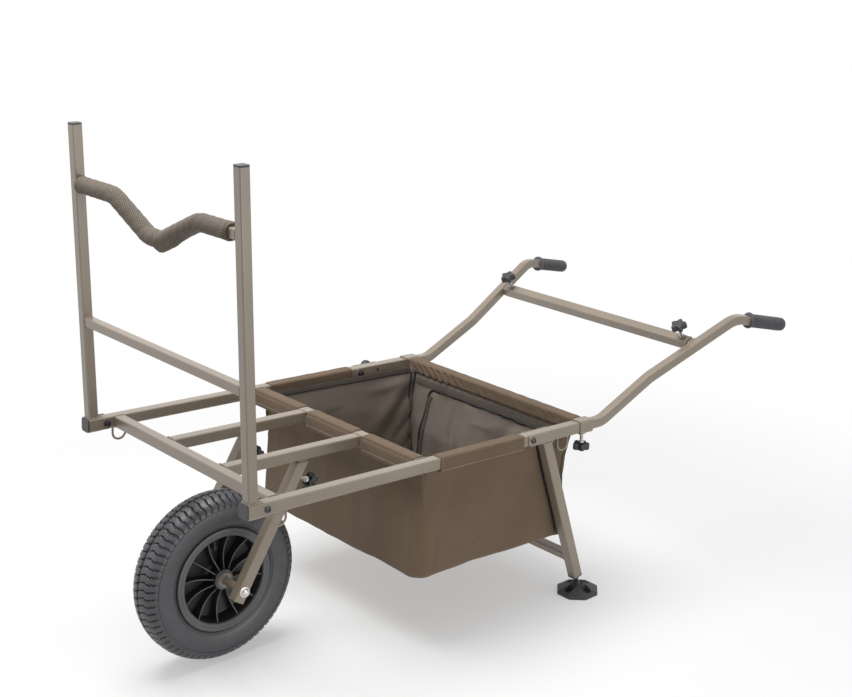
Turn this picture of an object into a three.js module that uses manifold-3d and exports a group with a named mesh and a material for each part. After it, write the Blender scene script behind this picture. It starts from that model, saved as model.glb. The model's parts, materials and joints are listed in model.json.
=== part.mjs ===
// Fishing trolley: a folding frame of square tube on one front wheel and two rear legs, with a
// bag hung in it, a fold-down rest bar in front and two push handles that slide in its rails.
// Lengths are in millimetres and angles in degrees. x runs across (plus x is the left side of
// the person who pushes), y runs back towards the handles and z points up.

import * as THREE from "three";
import { mergeVertices } from "three/addons/utils/BufferGeometryUtils.js";
import Module from "manifold-3d";

const wasm = await Module();
wasm.setup();

// Clearances that the pieces share.
const seatGap = 0.3;
const boltPlay = 0.4;
const cutOverrun = 5;
const mergeDistance = 0.0001;

// Square tubes: outer side, wall and corner rounding.
const frameTube = { side: 25, wall: 1.5, corner: 2 };
const lightTube = { side: 20, wall: 2, corner: 1.64 };
const mastTube = { side: 23, wall: 2, corner: 2.3 };
const handleTube = { side: 21.4, wall: 1.8, corner: 2.2 };
const jacketTube = { side: 30, wall: 2, corner: 3 };

// Chassis. The deck's own zero is the front face of the front crossbar and the rails' top.
const railSpacing = 614;
const middleSpacing = 200;
const railRearEnd = 866;
const rimBarFront = 366;
const rearBarFront = 833;
const frontPivotSetback = 18;

// Front bar with its hinge brackets.
const bracket = { length: 57, mastSetback: 12.8 };
const mast = { lean: 2.16, length: 637.5, capThickness: 3, plugLength: 14 };
const lowerBarHeight = 219;
const restBar = { endHeight: 513.5, dipDepth: 60.5, flatShare: 0.08, shoulderShare: 0.51, bendRadius: 45 };
const restSleeve = { diameter: 36.5, bareEnd: 34 };

// Fork and front wheel. The reach runs along the legs from the rails' underside to the axle.
const fork = { tilt: 29.7, topSetback: 218.3, reach: 297.7, tail: 25, stubLength: 104, topGap: 4 };
const forkKnobDrop = 36;
const axle = { diameter: 12, headDiameter: 24, headThickness: 5, nutAcross: 19, nutThickness: 9 };
const axleSpacerDiameter = 18;
const hubPlate = { diameter: 32, thickness: 2 };
const tyre = { radius: 185, width: 87, beadWall: 8 };
const tread = { depth: 5, lugs: 36, landShare: 0.68, wallShare: 0.05 };
const rim = { flangeRadius: 114.4, width: 80, openingRadius: 97.5, webThickness: 6, seatRadius: 101.6 };
const rimLip = { thickness: 5, rounding: 2.4, draft: 5.5 };
const hub = { width: 73, diameter: 44 };
const ribs = { count: 12, thickness: 3, dip: 12, edgeSet: 3, firstAngle: 19 };
const innerTube = { ringRadius: 142, radius: 24, steps: 12, sectionSides: 6 };
const valve = { diameter: 9, tipDiameter: 7, tipRadius: 61, offset: 12, angle: 94 };

// The tyre's side, its cavity and its lugs, as shares: of the height from the rim's lip to the
// crown, or of the tread's depth above the crown (a lug's top and its root), and then of half
// the tyre's width.
const tyreSideShares = [[0.1, 0.93], [0.42, 1], [0.72, 0.985]];
const cavitySideShares = [[0.3, 0.78], [0.86, 0.4]];
const lugShares = [[-0.6, -2.4, 0.86], [1, 0, 0.46], [1, 0, 0.04]];

// Rear legs with their channels, lock pin and feet.
const rearPivotPlace = 678.5;
const leg = { tilt: 19.9, offset: 48.15, length: 377 };
const channel = { rearReach: 63, rearSlant: 10, noseRadius: 14, webStart: 22 };
const braceDrop = 324;
const ballStud = { ballDiameter: 20, neckDiameter: 9, drop: 31.44, plugLength: 22, flange: 2, play: 1.2 };
const studCone = { diameter: 17, length: 14 };
const foot = { width: 93, skirtHeight: 8, edge: 2, ballHeight: 16, bossDiameter: 28, bossRise: 5 };
const footPocket = { innerWidth: 11, outerWidth: 25, edgeInset: 9, floorRise: 2 };
const lockPin = { offset: 53.5, diameter: 8, knobDiameter: 26, knobLength: 18 };
const pinHousing = { diameter: 15, length: 9 };

// Handles. The bends are given at the crossings of the tube's straight runs.
const handlePlace = { insert: 81, first: 904.2, second: 1058.8, cross: 1189.5, third: 1299.5, end: 1455.5 };
const handleRise = { second: 77.6, third: 197, end: 165.6 };
const handleSplay = { second: 2, third: 50.8, end: 70.5 };
const handleBend = { first: 60, second: 60, third: 70 };
const grip = { length: 120, diameter: 32, flangeDiameter: 38, flange: 5, ribs: 3, groove: 0.8, endWall: 4 };
const handleStub = { length: 70, shoulder: 8, sunk: 4 };
const collarLength = 40;

// Knobs, bolts and wire.
const knob = { diameter: 36, thickness: 18, lobes: 5, lobeDepthShare: 0.28, standoff: 24 };
const knobNeck = { diameter: 17, length: 5 };
const stud = { diameter: 8, bossAcross: 15, bossHeight: 4 };
const crossKnobInset = 21;
const bolt = { diameter: 8, headDiameter: 14, headRise: 5, nutAcross: 13, nutThickness: 7 };
const wire = { diameter: 5, span: 31, drop: 33.5, frontLeg: 3, rearLeg: 769 };

// Bag.
const cloth = { thickness: 2.5, overlap: 0.4 };
const bag = { depth: 280, sideInset: 2.5, frontDraw: 4, rearDraw: 16, cornerRadius: 38, floorRadius: 9 };
const bagMouth = { sleeveFront: 414, sleeveRear: 653, notchDepth: 30, teeGap: 6 };

// Facet counts.
const cornerSteps = 1;
const boltSides = 8;
const roundSides = 12;
const wireSides = 6;
const ballSides = 10;
const rimSteps = 3 * ribs.count;
const bendSteps = 3;
const slightBendSteps = 2;

const painted = { color: 0xa39a8c, roughness: 0.45, metalness: 0.35 };
const blackPlastic = { color: 0x2c2c2e, roughness: 0.55, metalness: 0 };
const blackRubber = { color: 0x3b3b3f, roughness: 0.85, metalness: 0 };
const zinc = { color: 0xb9b6ae, roughness: 0.3, metalness: 0.9 };
const blackBolt = { color: 0x1f1f22, roughness: 0.35, metalness: 0.6 };
const bagCloth = { color: 0x6b604f, roughness: 0.95, metalness: 0 };
const gripCloth = { color: 0x6f675b, roughness: 0.95, metalness: 0 };

const radians = THREE.MathUtils.degToRad;
const lerp = THREE.MathUtils.lerp;

// Sizes that follow from the driving ones.
const railX = railSpacing / 2;
const middleX = middleSpacing / 2;
const railMid = -frameTube.side / 2;
const railUnder = -frameTube.side;
const railInnerX = railX - frameTube.side / 2;
const jacketInner = jacketTube.side - 2 * jacketTube.wall;
const forkTilt = radians(fork.tilt);
const axleY = fork.topSetback - fork.reach * Math.sin(forkTilt);
const axleZ = railUnder - fork.reach * Math.cos(forkTilt);
const legTilt = radians(leg.tilt);
const legEndY = rearPivotPlace + leg.offset + leg.length * Math.sin(legTilt);
const legEndZ = railUnder - leg.length * Math.cos(legTilt);
const ballY = legEndY + ballStud.drop * Math.sin(legTilt);
const ballZ = legEndZ - ballStud.drop * Math.cos(legTilt);

// The deck's pitch is the one that stands the tyre and both feet on the same floor.
const stanceY = ballY - axleY;
const stanceZ = ballZ - axleZ;
const stance = Math.hypot(stanceY, stanceZ);
const pitch = Math.asin((foot.ballHeight - tyre.radius) / stance) - Math.atan2(stanceZ, stanceY);

// Turns a closed three.js geometry into a solid for joining and cutting.
function toSolid(geometry) {
  const bare = geometry.clone();
  bare.deleteAttribute("normal");
  bare.deleteAttribute("uv");
  const merged = mergeVertices(bare, mergeDistance);
  const corners = merged.index.array;
  const kept = [];
  for (let i = 0; i < corners.length; i += 3) {
    const [a, b, c] = [corners[i], corners[i + 1], corners[i + 2]];
    if (a !== b && b !== c && c !== a) kept.push(a, b, c);
  }
  return new wasm.Manifold(new wasm.Mesh({
    numProp: 3,
    vertProperties: Float32Array.from(merged.attributes.position.array),
    triVerts: Uint32Array.from(kept),
  }));
}

function toGeometry(solid) {
  const mesh = solid.getMesh();
  const geometry = new THREE.BufferGeometry();
  geometry.setAttribute("position", new THREE.BufferAttribute(mesh.vertProperties, 3));
  geometry.setIndex(new THREE.BufferAttribute(mesh.triVerts, 1));
  geometry.computeVertexNormals();
  return geometry;
}

function cut(body, ...tools) {
  return toGeometry(tools.reduce((solid, tool) => solid.subtract(toSolid(tool)), toSolid(body)));
}

function join(...bodies) {
  const solids = bodies.map(toSolid);
  return toGeometry(solids.reduce((whole, solid) => whole.add(solid)));
}

function common(first, second) {
  return toGeometry(toSolid(first).intersect(toSolid(second)));
}

// A polygon whose corners are [x, y, rounding], turned into points with round corners.
function softened(corners, steps = cornerSteps) {
  const points = [];
  corners.forEach(([x, y, radius], index) => {
    const corner = new THREE.Vector2(x, y);
    if (!radius) {
      points.push(corner);
      return;
    }
    const [beforeX, beforeY] = corners[(index + corners.length - 1) % corners.length];
    const [afterX, afterY] = corners[(index + 1) % corners.length];
    const before = new THREE.Vector2(beforeX, beforeY).sub(corner).normalize();
    const after = new THREE.Vector2(afterX, afterY).sub(corner).normalize();
    const half = Math.acos(before.dot(after)) / 2;
    const inward = before.clone().add(after).normalize();
    const centre = inward.multiplyScalar(radius / Math.sin(half)).add(corner);
    const start = before.clone().multiplyScalar(radius / Math.tan(half)).add(corner).sub(centre);
    const sweep = (Math.PI - 2 * half) * Math.sign(before.cross(after)) * -1;
    for (let step = 0; step <= steps; step += 1) {
      points.push(start.clone().rotateAround(new THREE.Vector2(), (sweep * step) / steps).add(centre));
    }
  });
  return points;
}

function rectanglePoints(width, height, corner, steps) {
  const [x, y] = [width / 2, height / 2];
  return softened([[-x, -y, corner], [x, -y, corner], [x, y, corner], [-x, y, corner]], steps);
}

function ringPoints(radius, sides) {
  return Array.from({ length: sides }, (_, index) => {
    const angle = (2 * Math.PI * (index + 0.5)) / sides;
    return new THREE.Vector2(radius * Math.cos(angle), radius * Math.sin(angle));
  });
}

function shapeOf(outer, inner) {
  const shape = new THREE.Shape(outer);
  if (inner) shape.holes.push(new THREE.Path(inner));
  return shape;
}

function tubeSection({ side, wall, corner }) {
  const inner = side - 2 * wall;
  return shapeOf(rectanglePoints(side, side, corner), rectanglePoints(inner, inner, 0));
}

// Straight extrusions start at zero and run along the named axis.
function alongZ(shape, length) {
  return new THREE.ExtrudeGeometry(shape, { depth: length, bevelEnabled: false });
}

function alongY(shape, length) {
  return alongZ(shape, length).rotateX(-Math.PI / 2);
}

function alongX(shape, length) {
  return alongZ(shape, length).rotateY(Math.PI / 2);
}

// Lays a solid over so that its z runs along x, its x along y and its y along z.
function laidOver(geometry) {
  return geometry.applyMatrix4(new THREE.Matrix4().set(0, 0, 1, 0, 1, 0, 0, 0, 0, 1, 0, 0, 0, 0, 0, 1));
}

// A side outline in y and z, given thickness about the middle plane x = 0.
function sidePlate(points, width) {
  return laidOver(alongZ(new THREE.Shape(points), width).translate(0, 0, -width / 2));
}

function box(width, depth, height) {
  return new THREE.BoxGeometry(width, depth, height);
}

// A cylinder along x, centred on the origin, for bolt shanks and for the holes they pass.
function rodX(diameter, length, sides = boltSides) {
  return alongX(shapeOf(ringPoints(diameter / 2, sides)), length).translate(-length / 2, 0, 0);
}

// Moves the end of a tube along z so that it is cut level under a tilted tube.
function slantEnd(geometry, height, slope) {
  const place = geometry.attributes.position;
  for (let i = 0; i < place.count; i += 1) {
    if (Math.abs(place.getZ(i) - height) < seatGap) place.setZ(i, height + slope * place.getY(i));
  }
  return geometry;
}

// A path of straight runs joined by round bends, stepped through its own stations.
class BentPath extends THREE.Curve {
  constructor(corners, radii, steps = bendSteps) {
    super();
    this.stations = [corners[0]];
    corners.slice(1, -1).forEach((corner, index) => {
      const before = corners[index].clone().sub(corner).normalize();
      const after = corners[index + 2].clone().sub(corner).normalize();
      const half = before.angleTo(after) / 2;
      const reach = radii[index] / Math.tan(half);
      const toCentre = before.clone().add(after).normalize().multiplyScalar(radii[index] / Math.sin(half));
      const centre = corner.clone().add(toCentre);
      const spoke = before.clone().multiplyScalar(reach).add(corner).sub(centre);
      const turnAxis = after.clone().cross(before).normalize();
      for (let step = 0; step <= steps; step += 1) {
        const turned = spoke.clone().applyAxisAngle(turnAxis, ((Math.PI - 2 * half) * step) / steps);
        this.stations.push(turned.add(centre));
      }
    });
    this.stations.push(corners[corners.length - 1]);
  }

  getUtoTmapping(u) {
    return u;
  }

  getPoint(t, target = new THREE.Vector3()) {
    const runs = this.stations.length - 1;
    const run = Math.min(Math.floor(t * runs), runs - 1);
    return target.lerpVectors(this.stations[run], this.stations[run + 1], t * runs - run);
  }
}

function sweep(shape, path) {
  return new THREE.ExtrudeGeometry(shape, {
    steps: path.stations.length - 1,
    extrudePath: path,
    bevelEnabled: false,
  });
}

// Revolves [radius, height] pairs round z. The profile is closed on itself or ends on the axis.
function revolve(profile, sides, closed = false) {
  const points = profile.map(([radius, height]) => new THREE.Vector2(radius, height));
  if (closed) points.push(points[0].clone());
  return new THREE.LatheGeometry(points, sides).rotateX(Math.PI / 2);
}

// Revolved solids come out of the lathe with z up or down by their winding; this settles it.
function outward(geometry) {
  const solid = toSolid(geometry);
  if (solid.volume() > 0) return toGeometry(solid);
  const flipped = geometry.index.clone();
  for (let i = 0; i < flipped.count; i += 3) {
    const held = flipped.getX(i);
    flipped.setX(i, flipped.getX(i + 1));
    flipped.setX(i + 1, held);
  }
  geometry.setIndex(flipped);
  return toGeometry(toSolid(geometry));
}

function turned(profile, sides = boltSides, closed = false) {
  return outward(revolve(profile, sides, closed));
}

// A closed skin over rings of [turn, radius, height] points. The rings may have unlike numbers of
// points, because each strip steps along whichever ring is behind. A looped skin joins its last
// ring to its first, and any other is closed with a fan at each end.
function skin(rings, looped) {
  const points = [];
  const starts = [];
  const put = (turn, radius, height) => {
    const angle = 2 * Math.PI * turn;
    points.push(radius * Math.cos(angle), radius * Math.sin(angle), height);
    return points.length / 3 - 1;
  };
  rings.forEach((ring) => {
    starts.push(points.length / 3);
    ring.forEach(([turn, radius, height]) => put(turn, radius, height));
  });
  const turnAt = (ring, step) => ring[step % ring.length][0] + Math.floor(step / ring.length);
  const faces = [];
  const strips = looped ? rings.length : rings.length - 1;
  for (let index = 0; index < strips; index += 1) {
    const after = (index + 1) % rings.length;
    const [ring, next] = [rings[index], rings[after]];
    const here = (step) => starts[index] + (step % ring.length);
    const there = (step) => starts[after] + (step % next.length);
    let [i, j] = [0, 0];
    while (i < ring.length || j < next.length) {
      if (j === next.length || (i < ring.length && turnAt(ring, i + 1) <= turnAt(next, j + 1))) {
        faces.push(here(i), here(i + 1), there(j));
        i += 1;
      } else {
        faces.push(here(i), there(j + 1), there(j));
        j += 1;
      }
    }
  }
  if (!looped) {
    const first = put(0, 0, rings[0][0][2]);
    rings[0].forEach((_, i) => faces.push(first, starts[0] + ((i + 1) % rings[0].length), starts[0] + i));
    const [end, from] = [rings[rings.length - 1], starts[rings.length - 1]];
    const last = put(0, 0, end[0][2]);
    end.forEach((_, i) => faces.push(last, from + i, from + ((i + 1) % end.length)));
  }
  const geometry = new THREE.BufferGeometry();
  geometry.setAttribute("position", new THREE.Float32BufferAttribute(points, 3));
  geometry.setIndex(faces);
  return outward(geometry);
}

// A plain round ring for the skin.
function roundRing(count, radius, height) {
  return Array.from({ length: count }, (_, i) => [i / count, radius, height]);
}

function named(name, geometry, look) {
  const mesh = new THREE.Mesh(geometry, new THREE.MeshStandardMaterial(look));
  mesh.name = name;
  return mesh;
}

function placed(object, x, y, z) {
  object.position.set(x, y, z);
  return object;
}

// The two sides of the trolley: sign is plus one on the left.
const sides = [
  { name: "left", sign: 1 },
  { name: "right", sign: -1 },
];

// A bolt across x: domed head on the outer side, hexagonal nut on the inner side.
function makeCrossBolt(gripLength) {
  const half = gripLength / 2 + seatGap;
  const headRadius = bolt.headDiameter / 2;
  const shank = bolt.diameter / 2;
  const dome = turned([
    [0, -half - bolt.nutThickness],
    [shank, -half - bolt.nutThickness],
    [shank, half],
    [headRadius, half],
    [headRadius * 0.94, half + bolt.headRise * 0.45],
    [headRadius * 0.6, half + bolt.headRise * 0.88],
    [0, half + bolt.headRise],
  ]).rotateY(Math.PI / 2);
  const nutRadius = bolt.nutAcross / 2 / Math.cos(Math.PI / 6);
  const nut = alongX(shapeOf(ringPoints(nutRadius, 6)), bolt.nutThickness - seatGap);
  return join(dome, nut.translate(-half - bolt.nutThickness + seatGap, 0, 0));
}

// A star knob on its threaded stud. It points up z, and its zero is the clamped tube's face.
function makeStarKnob(studDepth) {
  const radius = knob.diameter / 2;
  const studRadius = stud.diameter / 2;
  const neckRadius = knobNeck.diameter / 2;
  const under = knob.standoff;
  const top = knob.standoff + knob.thickness;
  const perLobe = 4;
  const around = knob.lobes * perLobe;
  const lobed = (share, height) => roundRing(around, radius * share, height).map(([turn, reach]) => {
    const dip = (knob.lobeDepthShare * (1 - Math.cos(2 * Math.PI * knob.lobes * turn))) / 2;
    return [turn, reach * (1 - dip), height];
  });
  return skin([
    roundRing(boltSides, studRadius, -studDepth),
    roundRing(boltSides, studRadius, under - knobNeck.length),
    roundRing(boltSides, neckRadius, under),
    lobed(1, under),
    lobed(1, top - knob.thickness * 0.22),
    lobed(0.82, top),
  ], false);
}

// The weld nut under a knob: a hexagonal boss with a clear bore, pointing up z from the face.
function makeStudBoss() {
  const radius = stud.bossAcross / 2 / Math.cos(Math.PI / 6);
  const sunk = frameTube.wall / 2;
  return alongZ(shapeOf(ringPoints(radius, 6)), stud.bossHeight + sunk).translate(0, 0, -sunk);
}

function makeStudBore() {
  const length = stud.bossHeight + jacketTube.side / 2 + cutOverrun;
  const bore = alongZ(shapeOf(ringPoints(stud.diameter / 2 + boltPlay, boltSides)), length);
  return bore.translate(0, 0, stud.bossHeight + cutOverrun - length);
}

// Chassis tubes, each in deck places.
function makeSideRail() {
  const front = -frontPivotSetback - frameTube.side / 2;
  const tube = alongY(tubeSection(frameTube), railRearEnd - front).translate(0, front, railMid);
  const outline = sidePlate(softened([
    [front, railUnder - cutOverrun, 0],
    [railRearEnd + cutOverrun, railUnder - cutOverrun, 0],
    [railRearEnd + cutOverrun, 0, 0],
    [front, 0, frameTube.side / 2],
  ], bendSteps), jacketTube.side);
  const hole = rodX(bolt.diameter + 2 * boltPlay, jacketTube.side);
  return cut(
    common(tube, outline),
    hole.clone().translate(0, -frontPivotSetback, railMid),
    hole.clone().translate(0, rearPivotPlace, railMid),
    hole.clone().translate(0, rearPivotPlace + lockPin.offset, railMid),
    makeStudBore().rotateX(Math.PI).translate(0, railRearEnd - collarLength / 2, railUnder),
  );
}

function makeMiddleRail() {
  const front = frameTube.side + seatGap;
  const length = rimBarFront - seatGap - front;
  const rail = alongY(tubeSection(frameTube), length).translate(0, front, railMid);
  const sunk = frameTube.wall / 2 / Math.cos(forkTilt);
  const stub = slantEnd(
    alongZ(tubeSection(lightTube), fork.stubLength + sunk).translate(0, 0, -fork.stubLength),
    sunk,
    Math.tan(forkTilt),
  );
  return join(rail, stub.rotateX(-forkTilt).translate(0, fork.topSetback, railUnder));
}

function makeCrossTube(halfLength) {
  return alongX(tubeSection(frameTube), 2 * halfLength).translate(-halfLength, 0, railMid);
}

// A loop of round wire that hangs under a rail for straps.
function makeTieLoop() {
  const half = wire.span / 2;
  const top = railUnder - seatGap;
  const low = railUnder - wire.drop;
  const path = new BentPath([
    new THREE.Vector3(0, -half, top),
    new THREE.Vector3(0, -half, low),
    new THREE.Vector3(0, half, low),
    new THREE.Vector3(0, half, top),
  ], [half * 0.98, half * 0.98]);
  return sweep(shapeOf(ringPoints(wire.diameter / 2, wireSides)), path);
}

// The jacket round each rail's rear end, with the weld nut for its clamp knob underneath.
function makeClampCollar() {
  const jacket = alongY(tubeSection(jacketTube), collarLength).translate(0, -collarLength / 2, 0);
  const boss = makeStudBoss().rotateX(Math.PI).translate(0, 0, -jacketTube.side / 2);
  const bore = makeStudBore().rotateX(Math.PI).translate(0, 0, -jacketTube.side / 2);
  return cut(join(jacket, boss), bore);
}

// The bag: a shell with a sloping rear wall, closed below and open above, and the sleeves that
// wrap it round the rim bar, the side rails and the rear bar.
function bagBlock(inset, rise) {
  const topZ = rise;
  const floorZ = -bag.depth + inset;
  const rows = [
    { z: topZ, draw: 0, shrink: 0 },
    { z: railUnder, draw: 0, shrink: 0 },
    { z: floorZ + bag.floorRadius, draw: 1, shrink: 0 },
    { z: floorZ + bag.floorRadius * 0.3, draw: 1, shrink: 0.3 },
    { z: floorZ, draw: 1, shrink: 1 },
  ];
  const front = rimBarFront + frameTube.side + seatGap + cloth.overlap + inset;
  const rear = rearBarFront - seatGap - cloth.overlap - inset;
  const halfWidth = railInnerX - seatGap - bag.sideInset - inset;
  const corner = bag.cornerRadius - inset;
  const perRow = 4 * (bendSteps + 1);
  const points = [];
  rows.forEach(({ z, draw, shrink }) => {
    const edge = shrink * bag.floorRadius;
    const x = halfWidth - draw * bag.sideInset - edge;
    const y0 = front + draw * bag.frontDraw + edge;
    const y1 = rear - draw * bag.rearDraw - edge;
    const turn = Math.max(corner - edge * 0.5, corner * 0.4);
    softened([[-x, y0, turn], [x, y0, turn], [x, y1, turn], [-x, y1, turn]], bendSteps)
      .forEach((point) => points.push(point.x, point.y, z));
  });
  const faces = [];
  for (let row = 0; row < rows.length - 1; row += 1) {
    for (let i = 0; i < perRow; i += 1) {
      const next = (i + 1) % perRow;
      const high = row * perRow;
      const low = high + perRow;
      faces.push(high + i, low + i, low + next, high + i, low + next, high + next);
    }
  }
  const floor = (rows.length - 1) * perRow;
  for (let i = 1; i < perRow - 1; i += 1) {
    faces.push(0, i, i + 1);
    faces.push(floor, floor + i + 1, floor + i);
  }
  const geometry = new THREE.BufferGeometry();
  geometry.setAttribute("position", new THREE.Float32BufferAttribute(points, 3));
  geometry.setIndex(faces);
  return geometry;
}

function makeBag() {
  const wallSide = frameTube.side + 2 * seatGap;
  const outerSide = wallSide + 2 * cloth.thickness;
  const sleeveShape = shapeOf(
    rectanglePoints(outerSide, outerSide, cloth.thickness * 1.2),
    rectanglePoints(wallSide, wallSide, 0),
  );
  const shell = cut(bagBlock(0, -cloth.overlap), bagBlock(cloth.thickness, cutOverrun));
  const notchLength = rearBarFront - frameTube.side / 2 - bagMouth.sleeveRear;
  const notch = box(railSpacing, notchLength, bagMouth.notchDepth * 2);
  const notched = cut(shell, notch.translate(0, bagMouth.sleeveRear + notchLength / 2, 0));
  const rimCentre = rimBarFront + frameTube.side / 2;
  const teeHalf = frameTube.side / 2 + bagMouth.teeGap;
  const reach = railInnerX - seatGap - cloth.thickness - cloth.overlap;
  const rimSleeve = alongX(sleeveShape, 2 * reach).translate(-reach, rimCentre, railMid);
  const tees = [-middleX, middleX].map((x) => box(2 * teeHalf, outerSide, outerSide + cutOverrun)
    .translate(x, rimCentre - cloth.thickness - cloth.overlap - seatGap, railMid));
  const rearSleeve = alongX(sleeveShape, 2 * reach)
    .translate(-reach, rearBarFront + frameTube.side / 2, railMid);
  const sideLength = bagMouth.sleeveRear - bagMouth.sleeveFront;
  const hemWidth = bag.sideInset + cloth.thickness;
  const hemX = railInnerX - seatGap - hemWidth / 2;
  const sideSleeves = [-1, 1].map((sign) => {
    const sleeve = alongY(sleeveShape, sideLength).translate(sign * railX, bagMouth.sleeveFront, railMid);
    const hem = box(hemWidth, sideLength, frameTube.side)
      .translate(sign * hemX, bagMouth.sleeveFront + sideLength / 2, railMid);
    return join(sleeve, hem);
  });
  return join(notched, cut(rimSleeve, ...tees), rearSleeve, ...sideSleeves);
}

// One hinge bracket: a tube in front, and behind it two cheeks that hold the rail's end.
function makeBracket() {
  const behind = jacketTube.side / 2;
  const front = -bracket.length + behind;
  const tube = alongY(tubeSection(jacketTube), bracket.length).translate(0, front, 0);
  const outline = sidePlate(softened([
    [front - cutOverrun, -behind, 0],
    [behind, -behind, behind * 0.98],
    [behind, behind, behind * 0.98],
    [front - cutOverrun, behind, 0],
  ], bendSteps), jacketTube.side);
  const cheekFront = -frameTube.side / 2 - seatGap;
  const slotLength = behind - cheekFront + cutOverrun;
  const slot = box(jacketInner, slotLength, jacketTube.side + cutOverrun)
    .translate(0, cheekFront + slotLength / 2, 0);
  return cut(common(tube, outline), slot, rodX(bolt.diameter + 2 * boltPlay, jacketTube.side + cutOverrun));
}

// A push-in end plug: a plate over the tube's end and a spigot inside it, pointing up z.
function makeEndPlug(tube, plate, depth) {
  const inner = tube.side - 2 * tube.wall - 2 * seatGap;
  const cover = alongZ(shapeOf(rectanglePoints(tube.side, tube.side, tube.corner)), plate);
  const spigot = alongZ(shapeOf(rectanglePoints(inner, inner, tube.corner / 2)), depth + plate / 2);
  return join(cover.translate(0, 0, seatGap), spigot.translate(0, 0, -depth + seatGap));
}

// The rest bar drops to a shallow cradle in the middle of its span.
function restBarCorners(from, to) {
  const flat = railX * restBar.flatShare;
  const shoulder = railX * restBar.shoulderShare;
  return [
    new THREE.Vector3(from, 0, 0),
    new THREE.Vector3(-shoulder, 0, 0),
    new THREE.Vector3(-flat, 0, -restBar.dipDepth),
    new THREE.Vector3(flat, 0, -restBar.dipDepth),
    new THREE.Vector3(shoulder, 0, 0),
    new THREE.Vector3(to, 0, 0),
  ];
}

const restRadii = [restBar.bendRadius, restBar.bendRadius, restBar.bendRadius, restBar.bendRadius];
const mastInnerX = railX - mastTube.side / 2 - seatGap;

function makeRestBar() {
  const path = new BentPath(restBarCorners(-mastInnerX, mastInnerX), restRadii, slightBendSteps);
  return sweep(tubeSection(lightTube), path);
}

function makeRestSleeve() {
  const bore = lightTube.side + 2 * seatGap;
  const section = shapeOf(ringPoints(restSleeve.diameter / 2, roundSides), rectanglePoints(bore, bore, 0));
  const to = mastInnerX - restSleeve.bareEnd;
  return sweep(section, new BentPath(restBarCorners(-mastInnerX, to), restRadii, slightBendSteps));
}

// A fork leg in its own frame: z runs up the leg from the axle.
function makeForkLeg() {
  const top = fork.reach - fork.topGap / Math.cos(forkTilt);
  const blank = alongZ(tubeSection(frameTube), top + fork.tail).translate(0, 0, -fork.tail);
  const tube = slantEnd(blank, top, Math.tan(forkTilt));
  const inner = frameTube.side - frameTube.wall;
  const endWall = alongZ(shapeOf(rectanglePoints(inner, inner, frameTube.corner)), frameTube.wall)
    .translate(0, 0, -fork.tail);
  const face = frameTube.side / 2;
  const clampZ = fork.reach - forkKnobDrop;
  return cut(
    join(tube, endWall, makeStudBoss().rotateX(-Math.PI / 2).translate(0, face, clampZ)),
    rodX(axle.diameter + 2 * boltPlay, frameTube.side + cutOverrun, axleSides),
    makeStudBore().rotateX(-Math.PI / 2).translate(0, face, clampZ),
  );
}

const forkOuterX = middleX + frameTube.side / 2;
const forkInnerX = middleX - frameTube.side / 2;
const axleSides = roundSides;

function makeAxle() {
  const shank = axle.diameter / 2;
  const head = forkOuterX + seatGap;
  return turned([
    [0, -head - axle.nutThickness - axle.headThickness],
    [shank, -head - axle.nutThickness - axle.headThickness],
    [shank, head],
    [axle.headDiameter / 2, head],
    [axle.headDiameter / 2, head + axle.headThickness * 0.6],
    [axle.headDiameter / 3, head + axle.headThickness],
    [0, head + axle.headThickness],
  ], axleSides).rotateY(Math.PI / 2);
}

function makeAxleNut() {
  const radius = axle.nutAcross / 2 / Math.cos(Math.PI / 6);
  const washer = alongX(shapeOf(ringPoints(axle.headDiameter / 2, axleSides)), axle.headThickness * 0.4);
  const nut = alongX(shapeOf(ringPoints(radius, 6)), axle.nutThickness);
  const bore = rodX(axle.diameter + 2 * boltPlay, 4 * axle.nutThickness, axleSides);
  return cut(join(washer, nut), bore).rotateY(Math.PI).translate(-forkOuterX - seatGap, 0, 0);
}

// A spacer tube from the hub's face to the leg, with the plate that closes the hub's mouth.
function makeAxleSpacer() {
  const start = hub.width / 2 + seatGap;
  const bore = axle.diameter / 2 + boltPlay;
  const tube = axleSpacerDiameter / 2;
  return turned([
    [bore, start],
    [hubPlate.diameter / 2, start],
    [hubPlate.diameter / 2, start + hubPlate.thickness],
    [tube, start + hubPlate.thickness],
    [tube, forkInnerX - seatGap],
    [bore, forkInnerX - seatGap],
  ], axleSides, true).rotateY(Math.PI / 2);
}

// Wheel pieces are revolved round z first and then laid over so that the axle runs along x.
const flipped = ([radius, x]) => [radius, -x];

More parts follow.
